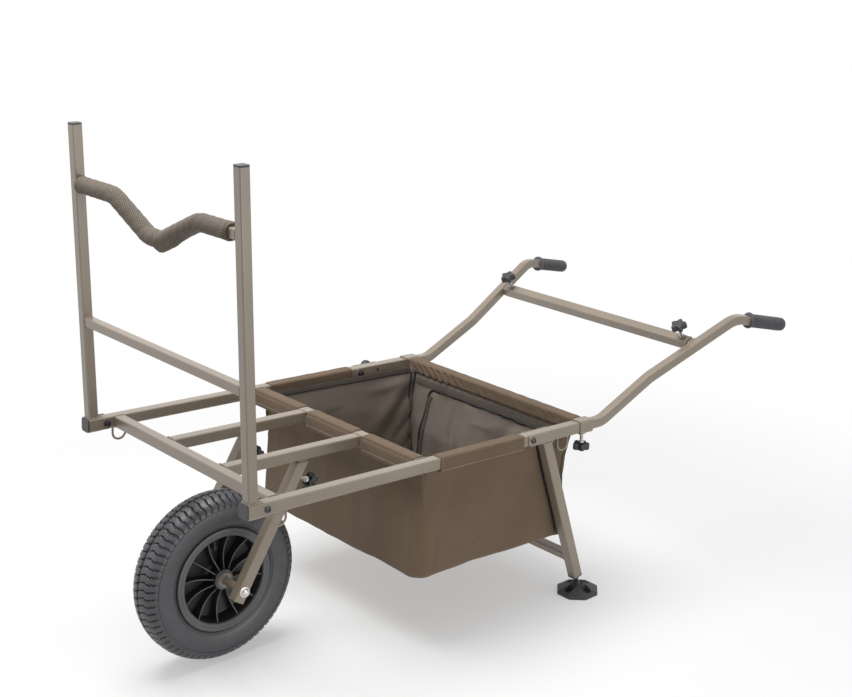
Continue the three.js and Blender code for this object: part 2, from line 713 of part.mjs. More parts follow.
function makeTyre() {
  const half = tyre.width / 2;
  const crown = tyre.radius - tread.depth;
  const lip = rim.flangeRadius + 2 * seatGap;
  const bead = rim.seatRadius + 2 * seatGap;
  const beadHalf = rim.width / 2 - rimLip.thickness - seatGap;
  const plain = ([radius, x]) => roundRing(tread.lugs, radius, x);
  const onSide = ([rise, out]) => [lip + rise * (crown - lip), out * half];
  const inside = [...cavitySideShares].reverse().map(onSide);
  const beadRings = [[bead, beadHalf - tyre.beadWall], [bead, beadHalf], [lip, beadHalf]];
  const profile = [...inside, ...beadRings, ...tyreSideShares.map(onSide)];

  // The lugs of the two halves are half a pitch apart, and each has a start and an end wall.
  const edge = tread.landShare / 2;
  const lugRing = ([top, root, out], sign) => {
    const middle = sign > 0 ? 0.5 : 0;
    const places = [-edge, tread.wallShare - edge, edge - tread.wallShare, edge];
    const rises = [root, top, top, root];
    const within = places.map((place, index) => [(place + middle + 1) % 1, rises[index]]);
    within.sort((first, second) => first[0] - second[0]);
    const ring = [];
    for (let lug = 0; lug < tread.lugs; lug += 1) {
      within.forEach(([place, rise]) => {
        ring.push([(lug + place) / tread.lugs, crown + rise * tread.depth, sign * out * half]);
      });
    }
    return ring;
  };
  const rings = [
    ...profile.map(plain),
    ...lugShares.map((row) => lugRing(row, 1)),
    plain([crown, 0]),
    ...[...lugShares].reverse().map((row) => lugRing(row, -1)),
    ...[...profile].reverse().map(flipped).map(plain),
  ];
  return laidOver(skin(rings, true));
}

// The wheel's ribs run straight out from the hub to the barrel, and their free edges are dished.
function makeRibPlate() {
  const from = hub.diameter / 2 - rimLip.rounding;
  const to = rim.openingRadius + rimLip.rounding / 2;
  const start = hub.width / 2 - ribs.edgeSet;
  const end = rim.width / 2 - 2 * ribs.edgeSet;
  const edge = [];
  for (let step = 0; step <= bendSteps; step += 1) {
    const share = step / bendSteps;
    const dip = ribs.dip * Math.sin(Math.PI * share);
    edge.push(new THREE.Vector2(from + (to - from) * share, start + (end - start) * share - dip));
  }
  const middle = new THREE.Vector2(rim.openingRadius - rimLip.draft + rimLip.rounding, 0);
  const under = edge.map(({ x, y }) => new THREE.Vector2(x, -y)).reverse();
  const outline = [...edge, middle, ...under];
  return alongZ(new THREE.Shape(outline), ribs.thickness).translate(0, 0, -ribs.thickness / 2)
    .rotateX(Math.PI / 2);
}

function makeRim() {
  const half = rim.width / 2;
  const hubHalf = hub.width / 2;
  const hubRadius = hub.diameter / 2;
  const bore = axle.diameter / 2 + boltPlay;
  const side = [
    [bore, hubHalf],
    [hubRadius, hubHalf],
    [hubRadius + rimLip.rounding / 2, rim.webThickness / 2],
    [rim.openingRadius - rimLip.draft, rim.webThickness / 2],
    [rim.openingRadius, half - rimLip.rounding],
    [rim.flangeRadius - rimLip.rounding, half],
    [rim.flangeRadius, half - rimLip.rounding],
    [rim.flangeRadius, half - rimLip.thickness],
    [rim.seatRadius, half - rimLip.thickness],
  ];
  const wheel = turned([...side, ...side.map(flipped).reverse()], rimSteps, true);
  const plate = makeRibPlate();
  const facet = (2 * Math.PI) / rimSteps;
  const plates = Array.from({ length: ribs.count }, (_, index) => (
    plate.clone().rotateZ(facet / 2 + (2 * Math.PI * index) / ribs.count)
  ));
  const wheelBody = join(wheel, ...plates).rotateZ(radians(ribs.firstAngle) - facet / 2);
  const holeStart = rim.openingRadius - 2 * rimLip.draft;
  const holeShape = shapeOf(ringPoints(valve.diameter / 2 + boltPlay, boltSides));
  const valveHole = alongX(holeShape, rim.flangeRadius - holeStart).translate(holeStart, 0, 0);
  valveHole.rotateZ(radians(valve.angle)).translate(0, 0, valve.offset);
  return laidOver(cut(wheelBody, valveHole));
}

// The tube inside the tyre, with the valve that comes out through the rim.
function makeInnerTube() {
  const section = ringPoints(innerTube.radius, innerTube.sectionSides)
    .map(({ x, y }) => [innerTube.ringRadius + x, y]);
  const ring = turned(section, innerTube.steps, true);
  const foot = innerTube.ringRadius - innerTube.radius * 0.5;
  const shoulder = rim.openingRadius - rimLip.draft - valve.diameter;
  const stem = turned([
    [0, valve.tipRadius],
    [valve.tipDiameter / 2, valve.tipRadius],
    [valve.tipDiameter / 2, shoulder],
    [valve.diameter / 2, shoulder + valve.diameter / 2],
    [valve.diameter / 2, foot],
    [0, foot],
  ], wireSides + 2).rotateY(Math.PI / 2);
  stem.rotateZ(radians(valve.angle)).translate(0, 0, valve.offset);
  return laidOver(join(ring, stem));
}

// The channel that hugs the rail above each rear leg. Its zero is the pivot, in the rail's middle.
function makeChannel(withLock) {
  const half = jacketTube.side / 2;
  const length = channel.noseRadius + channel.rearReach;
  const tube = alongY(tubeSection(jacketTube), length + cutOverrun).translate(0, -channel.noseRadius, 0);
  const top = frameTube.side / 2;
  const outline = sidePlate(softened([
    [-channel.noseRadius, -half, channel.noseRadius * 0.98],
    [channel.rearReach, -half, 0],
    [channel.rearReach + channel.rearSlant, top, 0],
    [-channel.noseRadius, top, top * 0.98],
  ], bendSteps), jacketTube.side);
  const notchLength = channel.noseRadius + channel.webStart;
  const notch = box(jacketInner, notchLength, jacketTube.side + cutOverrun)
    .translate(0, notchLength / 2 - channel.noseRadius - cutOverrun / 2, 0);
  const hole = rodX(bolt.diameter + 2 * boltPlay, jacketTube.side + cutOverrun);
  const channelBody = cut(common(tube, outline), notch, hole);
  if (!withLock) return channelBody;
  const pinHole = rodX(lockPin.diameter + 2 * boltPlay, jacketTube.side + 4 * pinHousing.length);
  const housing = rodX(pinHousing.diameter, pinHousing.length + jacketTube.wall / 2)
    .translate(-half - pinHousing.length / 2 + jacketTube.wall / 4, 0, 0);
  const housed = join(channelBody, housing.translate(0, lockPin.offset, 0));
  return cut(housed, pinHole.translate(0, lockPin.offset, 0));
}

// The spring pin's knob and pin, along x with its zero in the rail's middle plane.
function makeLockPin() {
  const tip = frameTube.side / 2 + seatGap;
  const knobStart = jacketTube.side / 2 + pinHousing.length + seatGap;
  const knobEnd = knobStart + lockPin.knobLength;
  const radius = lockPin.knobDiameter / 2;
  return turned([
    [0, tip],
    [lockPin.diameter / 2, tip],
    [lockPin.diameter / 2, knobStart],
    [radius * 0.8, knobStart],
    [radius, knobStart + lockPin.knobLength * 0.35],
    [radius, knobEnd - lockPin.knobLength * 0.3],
    [radius * 0.78, knobEnd],
    [0, knobEnd],
  ], roundSides).rotateY(-Math.PI / 2);
}

// A rear leg in its own frame: z runs up the leg, and zero is the rail's underside.
function makeRearLeg() {
  const top = -(jacketTube.side / 2 - frameTube.side / 2 + seatGap) / Math.cos(legTilt);
  const tube = alongZ(tubeSection(frameTube), leg.length + top).translate(0, 0, -leg.length);
  return slantEnd(tube, top, -Math.tan(legTilt));
}

function ballShape(radius) {
  return new THREE.SphereGeometry(radius, ballSides, ballSides / 2).rotateX(Math.PI / 2);
}

function makeBallStud() {
  const plug = makeEndPlug(frameTube, ballStud.flange, ballStud.plugLength);
  const neck = turned([
    [0, ballStud.flange / 2],
    [studCone.diameter / 2, ballStud.flange / 2],
    [ballStud.neckDiameter / 2, studCone.length],
    [ballStud.neckDiameter / 2, ballStud.drop],
    [0, ballStud.drop],
  ], boltSides);
  const ball = ballShape(ballStud.ballDiameter / 2).translate(0, 0, ballStud.drop);
  return join(plug, neck, ball).rotateX(Math.PI);
}

// An eight-sided foot with a socket for the ball, which is its zero. Four slopes rise to the
// socket, and a pocket is sunk between each two of them.
function makeFoot() {
  const acrossCorners = (flats) => flats / 2 / Math.cos(Math.PI / 8);
  const radius = acrossCorners(foot.width);
  const boss = acrossCorners(foot.bossDiameter);
  const skirtTop = foot.skirtHeight - foot.ballHeight;
  const body = turned([
    [0, -foot.ballHeight],
    [radius - foot.edge, -foot.ballHeight],
    [radius, foot.edge - foot.ballHeight],
    [radius - foot.edge / 2, skirtTop - foot.edge],
    [radius - foot.edge, skirtTop],
    [boss, foot.bossRise],
    [0, foot.bossRise],
  ], 8).rotateZ(Math.PI / 8);
  const socket = ballShape(ballStud.ballDiameter / 2 + ballStud.play);
  const inner = foot.bossDiameter / 2;
  const outer = foot.width / 2 - footPocket.edgeInset;
  const floor = skirtTop + footPocket.floorRise;
  const plan = new THREE.Shape([
    new THREE.Vector2(inner, -footPocket.innerWidth / 2),
    new THREE.Vector2(outer, -footPocket.outerWidth / 2),
    new THREE.Vector2(outer, footPocket.outerWidth / 2),
    new THREE.Vector2(inner, footPocket.innerWidth / 2),
  ]);
  const pocket = alongZ(plan, foot.bossRise + cutOverrun - floor).translate(0, 0, floor);
  const pockets = [0, 1, 2, 3].map((quarter) => pocket.clone().rotateZ((quarter * Math.PI) / 2));
  return cut(body, socket, ...pockets);
}

// Each handle is one bent tube. Its path is given for the left side and mirrored for the right.
function handlePath(sign) {
  const point = (splay, place, rise) => new THREE.Vector3(sign * (railX + splay), place, railMid + rise);
  return new BentPath([
    point(0, railRearEnd - handlePlace.insert, 0),
    point(0, handlePlace.first, 0),
    point(handleSplay.second, handlePlace.second, handleRise.second),
    point(handleSplay.third, handlePlace.third, handleRise.third),
    point(handleSplay.end, handlePlace.end, handleRise.end),
  ], [handleBend.first, handleBend.second, handleBend.third], slightBendSteps);
}

// The cross tube sits on the straight run between the second and the third bend.
const crossRun = handlePlace.third - handlePlace.second;
const crossShare = (handlePlace.cross - handlePlace.second) / crossRun;
const crossSlope = Math.atan2(handleRise.third - handleRise.second, crossRun);
const crossRise = lerp(handleRise.second, handleRise.third, crossShare);
const crossX = railX + lerp(handleSplay.second, handleSplay.third, crossShare);
const crossHalf = crossX - handleTube.side / 2 - handleStub.shoulder;

// The handle with the stub that the cross tube slides over.
function makeHandle(sign) {
  const tube = sweep(tubeSection(handleTube), handlePath(sign));
  const stub = alongX(tubeSection(lightTube), handleStub.length).rotateX(crossSlope);
  const start = sign > 0 ? crossX - handleTube.side / 2 - handleStub.length : handleTube.side / 2 - crossX;
  const sunk = sign * handleStub.sunk;
  return join(tube, stub.translate(start + sunk, handlePlace.cross, railMid + crossRise));
}

function makeCrossTubeOfHandles() {
  const face = frameTube.side / 2;
  const places = [-1, 1].map((sign) => sign * (crossHalf - crossKnobInset));
  const tube = alongX(tubeSection(frameTube), 2 * crossHalf).translate(-crossHalf, 0, 0);
  const bosses = places.map((x) => makeStudBoss().translate(x, 0, face));
  const bores = places.map((x) => makeStudBore().translate(x, 0, face));
  return cut(join(tube, ...bosses), ...bores);
}

// A ribbed rubber grip on the tube's end, built along z from its flange.
function makeGrip() {
  const radius = grip.diameter / 2;
  const profile = [
    [0, 0],
    [grip.flangeDiameter / 2, 0],
    [grip.flangeDiameter / 2, grip.flange],
    [radius, grip.flange * 1.6],
  ];
  const pitch = (grip.length - 3 * grip.flange) / grip.ribs;
  for (let i = 0; i < grip.ribs; i += 1) {
    const start = 2 * grip.flange + i * pitch;
    profile.push([radius, start + pitch * 0.55], [radius - grip.groove, start + pitch * 0.78]);
  }
  profile.push([radius, grip.length - grip.flange], [radius * 0.86, grip.length], [0, grip.length]);
  const hollow = handleTube.side + 2 * seatGap;
  const depth = grip.length - grip.endWall + cutOverrun;
  const bore = alongZ(shapeOf(rectanglePoints(hollow, hollow, handleTube.corner)), depth);
  return cut(turned(profile, roundSides), bore.translate(0, 0, -cutOverrun));
}

const chassis = new THREE.Group();
chassis.rotation.x = pitch;

sides.forEach(({ name, sign }) => {
  chassis.add(placed(named(`side_rail_${name}`, makeSideRail(), painted), sign * railX, 0, 0));
  chassis.add(placed(named(`middle_rail_${name}`, makeMiddleRail(), painted), sign * middleX, 0, 0));
  const collarPlace = railRearEnd - collarLength / 2;
  const collar = named(`clamp_collar_${name}`, makeClampCollar(), painted);
  chassis.add(placed(collar, sign * railX, collarPlace, railMid));
  const frontLoop = wire.frontLeg + wire.span / 2;
  const rearLoop = wire.rearLeg + wire.span / 2;
  chassis.add(placed(named(`tie_loop_front_${name}`, makeTieLoop(), painted), sign * railX, frontLoop, 0));
  chassis.add(placed(named(`tie_loop_rear_${name}`, makeTieLoop(), painted), sign * railX, rearLoop, 0));
  const clampReach = (jacketTube.side - handleTube.side) / 2 - seatGap;
  const clampKnob = named(`clamp_knob_${name}`, makeStarKnob(clampReach), blackPlastic);
  clampKnob.rotation.x = Math.PI;
  chassis.add(placed(clampKnob, sign * railX, collarPlace, railMid - jacketTube.side / 2));
  [["front", -frontPivotSetback], ["rear", rearPivotPlace]].forEach(([end, place]) => {
    const pivotBolt = named(`${end}_pivot_bolt_${name}`, makeCrossBolt(jacketTube.side), blackBolt);
    pivotBolt.rotation.z = sign > 0 ? 0 : Math.PI;
    chassis.add(placed(pivotBolt, sign * railX, place, railMid));
  });
});
chassis.add(placed(
  named("front_crossbar", makeCrossTube(railInnerX - seatGap), painted),
  0, frameTube.side / 2, 0,
));
chassis.add(placed(
  named("rim_crossbar", makeCrossTube(railInnerX - seatGap), painted),
  0,
  rimBarFront + frameTube.side / 2,
  0,
));
chassis.add(placed(
  named("rear_crossbar", makeCrossTube(railX - jacketTube.side / 2 - seatGap), painted),
  0,
  rearBarFront + frameTube.side / 2,
  0,
));
chassis.add(named("bag", makeBag(), bagCloth));

// Front bar: brackets on the rails' ends, masts on the brackets, two bars between the masts.
const frontBar = placed(new THREE.Group(), 0, -frontPivotSetback, railMid);
const bracketFront = jacketTube.side / 2 - bracket.length;
const mastFrame = placed(new THREE.Group(), 0, bracketFront + bracket.mastSetback, jacketTube.side / 2);
mastFrame.rotation.x = radians(mast.lean);
const mastFoot = seatGap + (mastTube.side / 2) * Math.tan(radians(mast.lean));
sides.forEach(({ name, sign }) => {
  frontBar.add(placed(named(`hinge_bracket_${name}`, makeBracket(), painted), sign * railX, 0, 0));
  const plugShape = makeEndPlug(jacketTube, mast.capThickness, mast.plugLength);
  const plug = named(`bracket_plug_${name}`, plugShape, blackPlastic);
  plug.rotation.x = Math.PI / 2;
  frontBar.add(placed(plug, sign * railX, bracketFront, 0));
  const tube = alongZ(tubeSection(mastTube), mast.length - mastFoot).translate(0, 0, mastFoot);
  mastFrame.add(placed(named(`mast_${name}`, tube, painted), sign * railX, 0, 0));
  const cap = makeEndPlug(mastTube, mast.capThickness, mast.plugLength);
  mastFrame.add(placed(named(`mast_cap_${name}`, cap, blackPlastic), sign * railX, 0, mast.length));
});
const lowerBar = alongX(tubeSection(lightTube), 2 * mastInnerX).translate(-mastInnerX, 0, 0);
mastFrame.add(placed(named("lower_bar", lowerBar, painted), 0, 0, lowerBarHeight));
mastFrame.add(placed(named("rest_bar", makeRestBar(), painted), 0, 0, restBar.endHeight));
mastFrame.add(placed(named("rest_bar_sleeve", makeRestSleeve(), gripCloth), 0, 0, restBar.endHeight));
frontBar.add(mastFrame);
chassis.add(frontBar);

// A knob's stud reaches from its tube's face to the lighter tube that slides inside.
const sleeveReach = (frameTube.side - lightTube.side) / 2 - seatGap;

// Fork and wheel. The fork's own z runs up its legs, and the wheel stands level with the floor.
const forkFrame = placed(new THREE.Group(), 0, axleY, axleZ);
forkFrame.rotation.x = -forkTilt;
sides.forEach(({ name, sign }) => {
  forkFrame.add(placed(named(`fork_leg_${name}`, makeForkLeg(), painted), sign * middleX, 0, 0));
  const spacer = named(`axle_spacer_${name}`, makeAxleSpacer(), painted);
  spacer.rotation.z = sign > 0 ? 0 : Math.PI;
  forkFrame.add(spacer);
  const forkKnob = named(`fork_knob_${name}`, makeStarKnob(sleeveReach), blackPlastic);
  forkKnob.rotation.x = -Math.PI / 2;
  forkFrame.add(placed(forkKnob, sign * middleX, frameTube.side / 2, fork.reach - forkKnobDrop));
});
forkFrame.add(named("axle", makeAxle(), zinc));
forkFrame.add(named("axle_nut", makeAxleNut(), zinc));
const wheel = new THREE.Group();
wheel.rotation.x = forkTilt - pitch;
wheel.add(named("tyre", makeTyre(), blackRubber));
wheel.add(named("rim", makeRim(), blackPlastic));
wheel.add(named("inner_tube", makeInnerTube(), blackRubber));
forkFrame.add(wheel);
chassis.add(forkFrame);

// Rear legs: a channel, a leg and a ball stud on each side, and the brace between them.
const legFrame = placed(new THREE.Group(), 0, rearPivotPlace, railMid);
const legTubes = placed(new THREE.Group(), 0, leg.offset, -frameTube.side / 2);
legTubes.rotation.x = legTilt;
sides.forEach(({ name, sign }) => {
  legFrame.add(placed(named(`leg_channel_${name}`, makeChannel(sign < 0), painted), sign * railX, 0, 0));
  legTubes.add(placed(named(`rear_leg_${name}`, makeRearLeg(), painted), sign * railX, 0, 0));
  const ballStudMesh = named(`ball_stud_${name}`, makeBallStud(), blackPlastic);
  legTubes.add(placed(ballStudMesh, sign * railX, 0, -leg.length));
});
const braceHalf = railInnerX - seatGap;
const brace = alongX(tubeSection(lightTube), 2 * braceHalf).translate(-braceHalf, 0, -braceDrop);
legTubes.add(named("leg_brace", brace, painted));
legFrame.add(legTubes);
legFrame.add(placed(named("lock_pin", makeLockPin(), blackPlastic), -railX, lockPin.offset, 0));
chassis.add(legFrame);

// Push handles, their cross tube and its two knobs.
sides.forEach(({ name, sign }) => {
  chassis.add(named(`handle_${name}`, makeHandle(sign), painted));
  const path = handlePath(sign);
  const runs = path.stations.length - 1;
  const frames = path.computeFrenetFrames(runs, false);
  const basis = new THREE.Matrix4()
    .makeBasis(frames.normals[runs], frames.binormals[runs], frames.tangents[runs]);
  const gripMesh = named(`grip_${name}`, makeGrip(), blackRubber);
  gripMesh.quaternion.setFromRotationMatrix(basis);
  gripMesh.position.copy(path.stations[runs]);
  gripMesh.position.addScaledVector(frames.tangents[runs], grip.endWall + seatGap - grip.length);
  chassis.add(gripMesh);
});
const crossFrame = placed(new THREE.Group(), 0, handlePlace.cross, railMid + crossRise);
crossFrame.rotation.x = crossSlope;
crossFrame.add(named("handle_crossbar", makeCrossTubeOfHandles(), painted));
sides.forEach(({ name, sign }) => {
  const crossKnob = named(`handle_knob_${name}`, makeStarKnob(sleeveReach), blackPlastic);
  crossFrame.add(placed(crossKnob, sign * (crossHalf - crossKnobInset), 0, frameTube.side / 2));
});
chassis.add(crossFrame);

const trolley = new THREE.Group();
trolley.add(chassis);

// The feet stay level under the tilted deck.
const ballPlace = new THREE.Vector3(0, ballY, ballZ).applyAxisAngle(new THREE.Vector3(1, 0, 0), pitch);
sides.forEach(({ name, sign }) => {
  const footMesh = named(`foot_${name}`, makeFoot(), blackRubber);
  trolley.add(placed(footMesh, sign * railX, ballPlace.y, ballPlace.z));
});

// The finished trolley stands on z = 0 with its origin under the middle of its outline.
const bounds = new THREE.Box3().setFromObject(trolley);
const middle = bounds.getCenter(new THREE.Vector3());
trolley.position.set(-middle.x, -middle.y, -bounds.min.z);

const fishingTrolley = new THREE.Group();
fishingTrolley.add(trolley);
fishingTrolley.updateMatrixWorld(true);

export default fishingTrolley;
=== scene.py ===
"""The looks of the fishing trolley: painted square tube, treaded tyre on a ribbed rim, hung cloth bag.

Shapes are made in millimetres in the deck's own frame, in which zero is the front face of the
front crossbar at the rails' top, x runs to the left of the person who pushes, y runs back and
z is up. The deck matrix puts them into the row frame in metres.
"""

import json
import math
import random

import bpy
import numpy as np
from mathutils import Matrix, Vector, noise


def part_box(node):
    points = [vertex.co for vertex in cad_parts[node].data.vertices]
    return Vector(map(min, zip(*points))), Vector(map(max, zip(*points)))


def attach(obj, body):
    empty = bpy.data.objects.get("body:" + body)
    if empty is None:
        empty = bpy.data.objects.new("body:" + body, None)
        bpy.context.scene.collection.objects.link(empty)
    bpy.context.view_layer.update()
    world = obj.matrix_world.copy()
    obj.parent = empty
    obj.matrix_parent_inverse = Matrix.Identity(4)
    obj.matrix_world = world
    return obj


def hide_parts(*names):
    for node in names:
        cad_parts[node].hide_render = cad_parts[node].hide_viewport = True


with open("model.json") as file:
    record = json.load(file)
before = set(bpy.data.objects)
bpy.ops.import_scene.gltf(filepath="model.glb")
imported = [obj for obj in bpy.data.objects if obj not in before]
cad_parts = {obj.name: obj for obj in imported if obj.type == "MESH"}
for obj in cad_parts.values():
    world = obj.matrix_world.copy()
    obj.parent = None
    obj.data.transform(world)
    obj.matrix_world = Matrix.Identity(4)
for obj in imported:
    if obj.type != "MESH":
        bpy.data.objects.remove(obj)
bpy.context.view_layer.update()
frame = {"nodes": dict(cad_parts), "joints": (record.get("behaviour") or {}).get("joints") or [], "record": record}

# -------------------- places and sizes


def shift(x, y, z):
    return Matrix.Translation((x, y, z))


def turn(angle, axis):
    return Matrix.Rotation(angle, 4, axis)


# The deck's place comes from the joints: the handles slide along the rails, and the front bar
# turns on the rails' front bolts.
joints = {joint["name"]: joint for joint in frame["joints"]}
rail_way = joints["handles_slide"]["axis"]
PITCH = math.atan2(rail_way[2], rail_way[1])
FRONT_PIVOT = (0.0, -18.0, -12.5)
MM = Matrix.Scale(0.001, 4)
MIRROR = Matrix.Scale(-1, 4, (0, 0, 1))
# Lays z along x, for pieces that are turned about the cross axis.
TO_X = Matrix(((0, 0, 1, 0), (1, 0, 0, 0), (0, 1, 0, 0), (0, 0, 0, 1)))
SIDES = (("left", 1), ("right", -1))

deck_turn = turn(PITCH, "X")
pivot_place = Vector(joints["front_bar_fold"]["pos_m"])
DECK = Matrix.Translation(pivot_place - deck_turn @ (Vector(FRONT_PIVOT) * 0.001)) @ deck_turn @ MM

# Sizes that the CAD part has too.
TUBE = 25.0
RAIL_X = 307.0
MIDDLE_X = 100.0
RAIL_MID = -12.5
RAIL_UNDER = -25.0
RIM_BAR = 366.0
REAR_BAR = 833.0
FORK_TILT = math.radians(29.7)
FORK_REACH = 297.7
AXLE_Y = 218.3 - FORK_REACH * math.sin(FORK_TILT)
AXLE_Z = RAIL_UNDER - FORK_REACH * math.cos(FORK_TILT)
REAR_PIVOT = 678.5
LEG_TILT = math.radians(19.9)
LEG_OFFSET = 48.15
LEG_LENGTH = 377.0
LOCK_PLACE = REAR_PIVOT + 53.5
COLLAR_PLACE = 846.0
LEAN = math.radians(2.16)
REST_RISE = 513.5
HANDLE_SIDE = 21.8
GRIP_LENGTH = 120.0
FOOT_HALF = 46.5
BALL_DROP = 31.44

MASTS = DECK @ shift(0, -47.2, 2.5) @ turn(LEAN, "X")
FORK = DECK @ shift(0, AXLE_Y, AXLE_Z) @ turn(-FORK_TILT, "X")
WHEEL = FORK @ turn(FORK_TILT - PITCH, "X")
LEGS = DECK @ shift(0, REAR_PIVOT + LEG_OFFSET, RAIL_UNDER) @ turn(LEG_TILT, "X")

# The left handle's bends: how far each splays, lies back and rises.
HANDLE_POINTS = (
    (0.0, 785.0, 0.0), (0.0, 904.2, 0.0), (2.0, 1058.8, 77.6), (50.8, 1299.5, 197.0), (70.5, 1455.5, 165.6),
)
SECOND_BEND, THIRD_BEND = HANDLE_POINTS[2:4]
SPLAY, RUN, RISE = (third - second for second, third in zip(SECOND_BEND, THIRD_BEND))
CROSS_PLACE = 1189.5
CROSS_SHARE = (CROSS_PLACE - SECOND_BEND[1]) / RUN
CROSS_X = RAIL_X + SECOND_BEND[0] + CROSS_SHARE * SPLAY
CROSS_HALF = CROSS_X - 18.7
CROSS = DECK @ shift(0, CROSS_PLACE, RAIL_MID + SECOND_BEND[2] + CROSS_SHARE * RISE) @ turn(math.atan2(RISE, RUN), "X")


def link(name, data):
    """A new object in the scene."""
    thing = bpy.data.objects.new(name, data)
    bpy.context.scene.collection.objects.link(thing)
    return thing


# -------------------- camera

camera_data = bpy.data.cameras.new("camera")
camera = link("camera", camera_data)
bpy.context.scene.camera = camera
camera_data.sensor_width = 36
camera_data.lens = 63.837
camera_data.shift_x = -0.031449
camera_data.shift_y = -0.023963
camera_data.clip_start = 0.1
camera_data.clip_end = 60
camera.matrix_world = Matrix.Translation(DECK @ Vector((2527.025, -1539.956, 1057.525))) @ Matrix((
    (0.657264, -0.218718, 0.721226, 0),
    (0.753660, 0.190811, -0.628957, 0),
    (-0.000053, 0.956950, 0.290252, 0),
    (0, 0, 0, 1),
))

# -------------------- materials


class Nodes:
    """A node tree. A node's input is given as a value or as another node's output."""

    def __init__(self, owner):
        owner.use_nodes = True
        self.owner = owner
        self.tree = owner.node_tree

    def feed(self, socket, value):
        if isinstance(value, bpy.types.NodeSocket):
            self.tree.links.new(value, socket)
        else:
            socket.default_value = value

    def add(self, kind, inputs=None, output=0, **settings):
        """Adds a node and gives one of its outputs, or the node itself for output None."""
        node = self.tree.nodes.new("ShaderNode" + kind)
        for key, value in settings.items():
            setattr(node, key, value)
        for key, value in (inputs or {}).items():
            self.feed(node.inputs[key], value)
        return node if output is None else node.outputs[output]

    def math(self, operation, first, second=0.5):
        return self.add("Math", {0: first, 1: second}, operation=operation)


class Look(Nodes):
    """A material round its principled shader."""

    def __init__(self, name):
        super().__init__(bpy.data.materials.new(name))
        self.shader = self.tree.nodes["Principled BSDF"]

    def done(self, **sockets):
        for key, value in sockets.items():
            self.feed(self.shader.inputs[key.replace("_", " ")], value)
        return self.owner

    def coords(self, scale=(1, 1, 1)):
        return self.add("Mapping", {"Vector": self.add("TexCoord", output="Object"), "Scale": scale})

    def uv(self):
        """The piece's UV map, whose unit is a metre."""
        return self.add("SeparateXYZ", {0: self.add("TexCoord", output="UV")}, None).outputs[:2]

    def noise(self, place, scale, detail=4.0, roughness=0.55):
        inputs = {"Vector": place, "Scale": scale, "Detail": detail, "Roughness": roughness}
        return self.add("TexNoise", inputs, "Fac")

    def ramp(self, factor, base, ends):
        """A ramp of base at two levels: ends holds a place and a level, twice."""
        node = self.add("ValToRGB", {"Fac": factor}, None)
        for element, place, level in zip(node.color_ramp.elements, ends[::2], ends[1::2]):
            element.position = place
            element.color = (base[0] * level, base[1] * level, base[2] * level, 1.0)
        return node.outputs["Color"]

    def times(self, first, second):
        """The product of two colours."""
        inputs = {0: 1.0, 6: first, 7: second}
        return self.add("Mix", inputs, 2, data_type="RGBA", blend_type="MULTIPLY")

    def bump(self, height, strength, distance, under=None):
        inputs = {"Height": height, "Strength": strength, "Distance": distance}
        if under is not None:
            inputs["Normal"] = under
        return self.add("Bump", inputs)


WHITE = (1.0, 1.0, 1.0)


def linear(red, green, blue):
    """An sRGB colour, 0 to 255, as the linear colour that Blender's sockets hold."""
    shares = (value / 255 for value in (red, green, blue))
    return tuple(v / 12.92 if v <= 0.04045 else ((v + 0.055) / 1.055) ** 2.4 for v in shares)


def unit(value):
    """The value, held between 0 and 1."""
    return min(1.0, max(0.0, value))


def ease(low, high, value):
    """Rises smoothly from 0 at low to 1 at high."""
    share = unit((value - low) / (high - low))
    return share * share * (3 - 2 * share)


def surface(name, colour, patches, ends, rough, grain, fine=None, stretch=1, threads=None, **sockets):
    """A patchy colour under a fine speckle, a fine bump, and a roughness that follows the patches.

    patches is a noise, ends its colour ramp, rough the patches' share in the roughness and its
    level, grain the bump's noise, strength and distance, fine the speckle's noise and ramp, which
    stretch lengthens, and threads a weave's threads per metre and strength."""
    made = Look(name)
    place = made.coords()
    cloud = made.noise(place, *patches)
    body = made.ramp(cloud, colour, ends)
    if fine:
        speckle = made.noise(made.coords((1, 1, stretch)), *fine[0])
        body = made.times(body, made.ramp(speckle, WHITE, fine[1]))
    under = None
    if threads:
        turns = 2 * math.pi * threads[0]
        waves = [made.math("SINE", made.math("MULTIPLY", way, turns)) for way in made.uv()]
        under = made.bump(made.math("MULTIPLY", *waves), threads[1], 0.0003)
    normal = made.bump(made.noise(place, *grain[:2]), *grain[2:], under)
    roughness = made.math("ADD", made.math("MULTIPLY", cloud, rough[0]), rough[1])
    return made.done(Base_Color=body, Normal=normal, Roughness=roughness, **sockets)


def plastic(name, colour, roughness, grain=900.0, depth=0.12):
    ends = (0.3, 0.88, 0.72, 1.15)
    return surface(name, colour, (14.0, 4.0), ends, (0.16, roughness - 0.08), (grain, 3.0, depth, 0.0003))


def bare_metal(name, colour, roughness):
    ends = (0.3, 0.86, 0.7, 1.05)
    grain = (1500.0, 2.0, 0.15, 0.0002)
    return surface(name, colour, (120.0, 3.0), ends, (0.2, roughness - 0.08), grain, Metallic=0.95)


def rubber(name, colour, roughness, spec=0.4):
    return surface(
        name, colour, (22.0, 5.0, 0.62), (0.32, 0.84, 0.7, 1.22), (0.22, roughness - 0.1),
        (260.0, 3.0, 0.22, 0.0005), ((260.0, 3.0), (0.4, 0.93, 0.62, 1.05)), Specular_IOR_Level=spec,
    )


def cloth(name, colour, sheen, threads=900.0, light=1.1, roughness=0.86, depth=0.5):
    return surface(
        name, colour, (7.0, 5.0, 0.6), (0.3, 0.9, 0.72, light), (0.12, roughness - 0.06),
        (60.0, 4.0, 0.16, 0.002), ((240.0, 2.0), (0.3, 0.94, 0.7, 1.06)), 14, (threads, depth),
        Sheen_Weight=sheen, Sheen_Roughness=0.45, Specular_IOR_Level=0.25,
    )


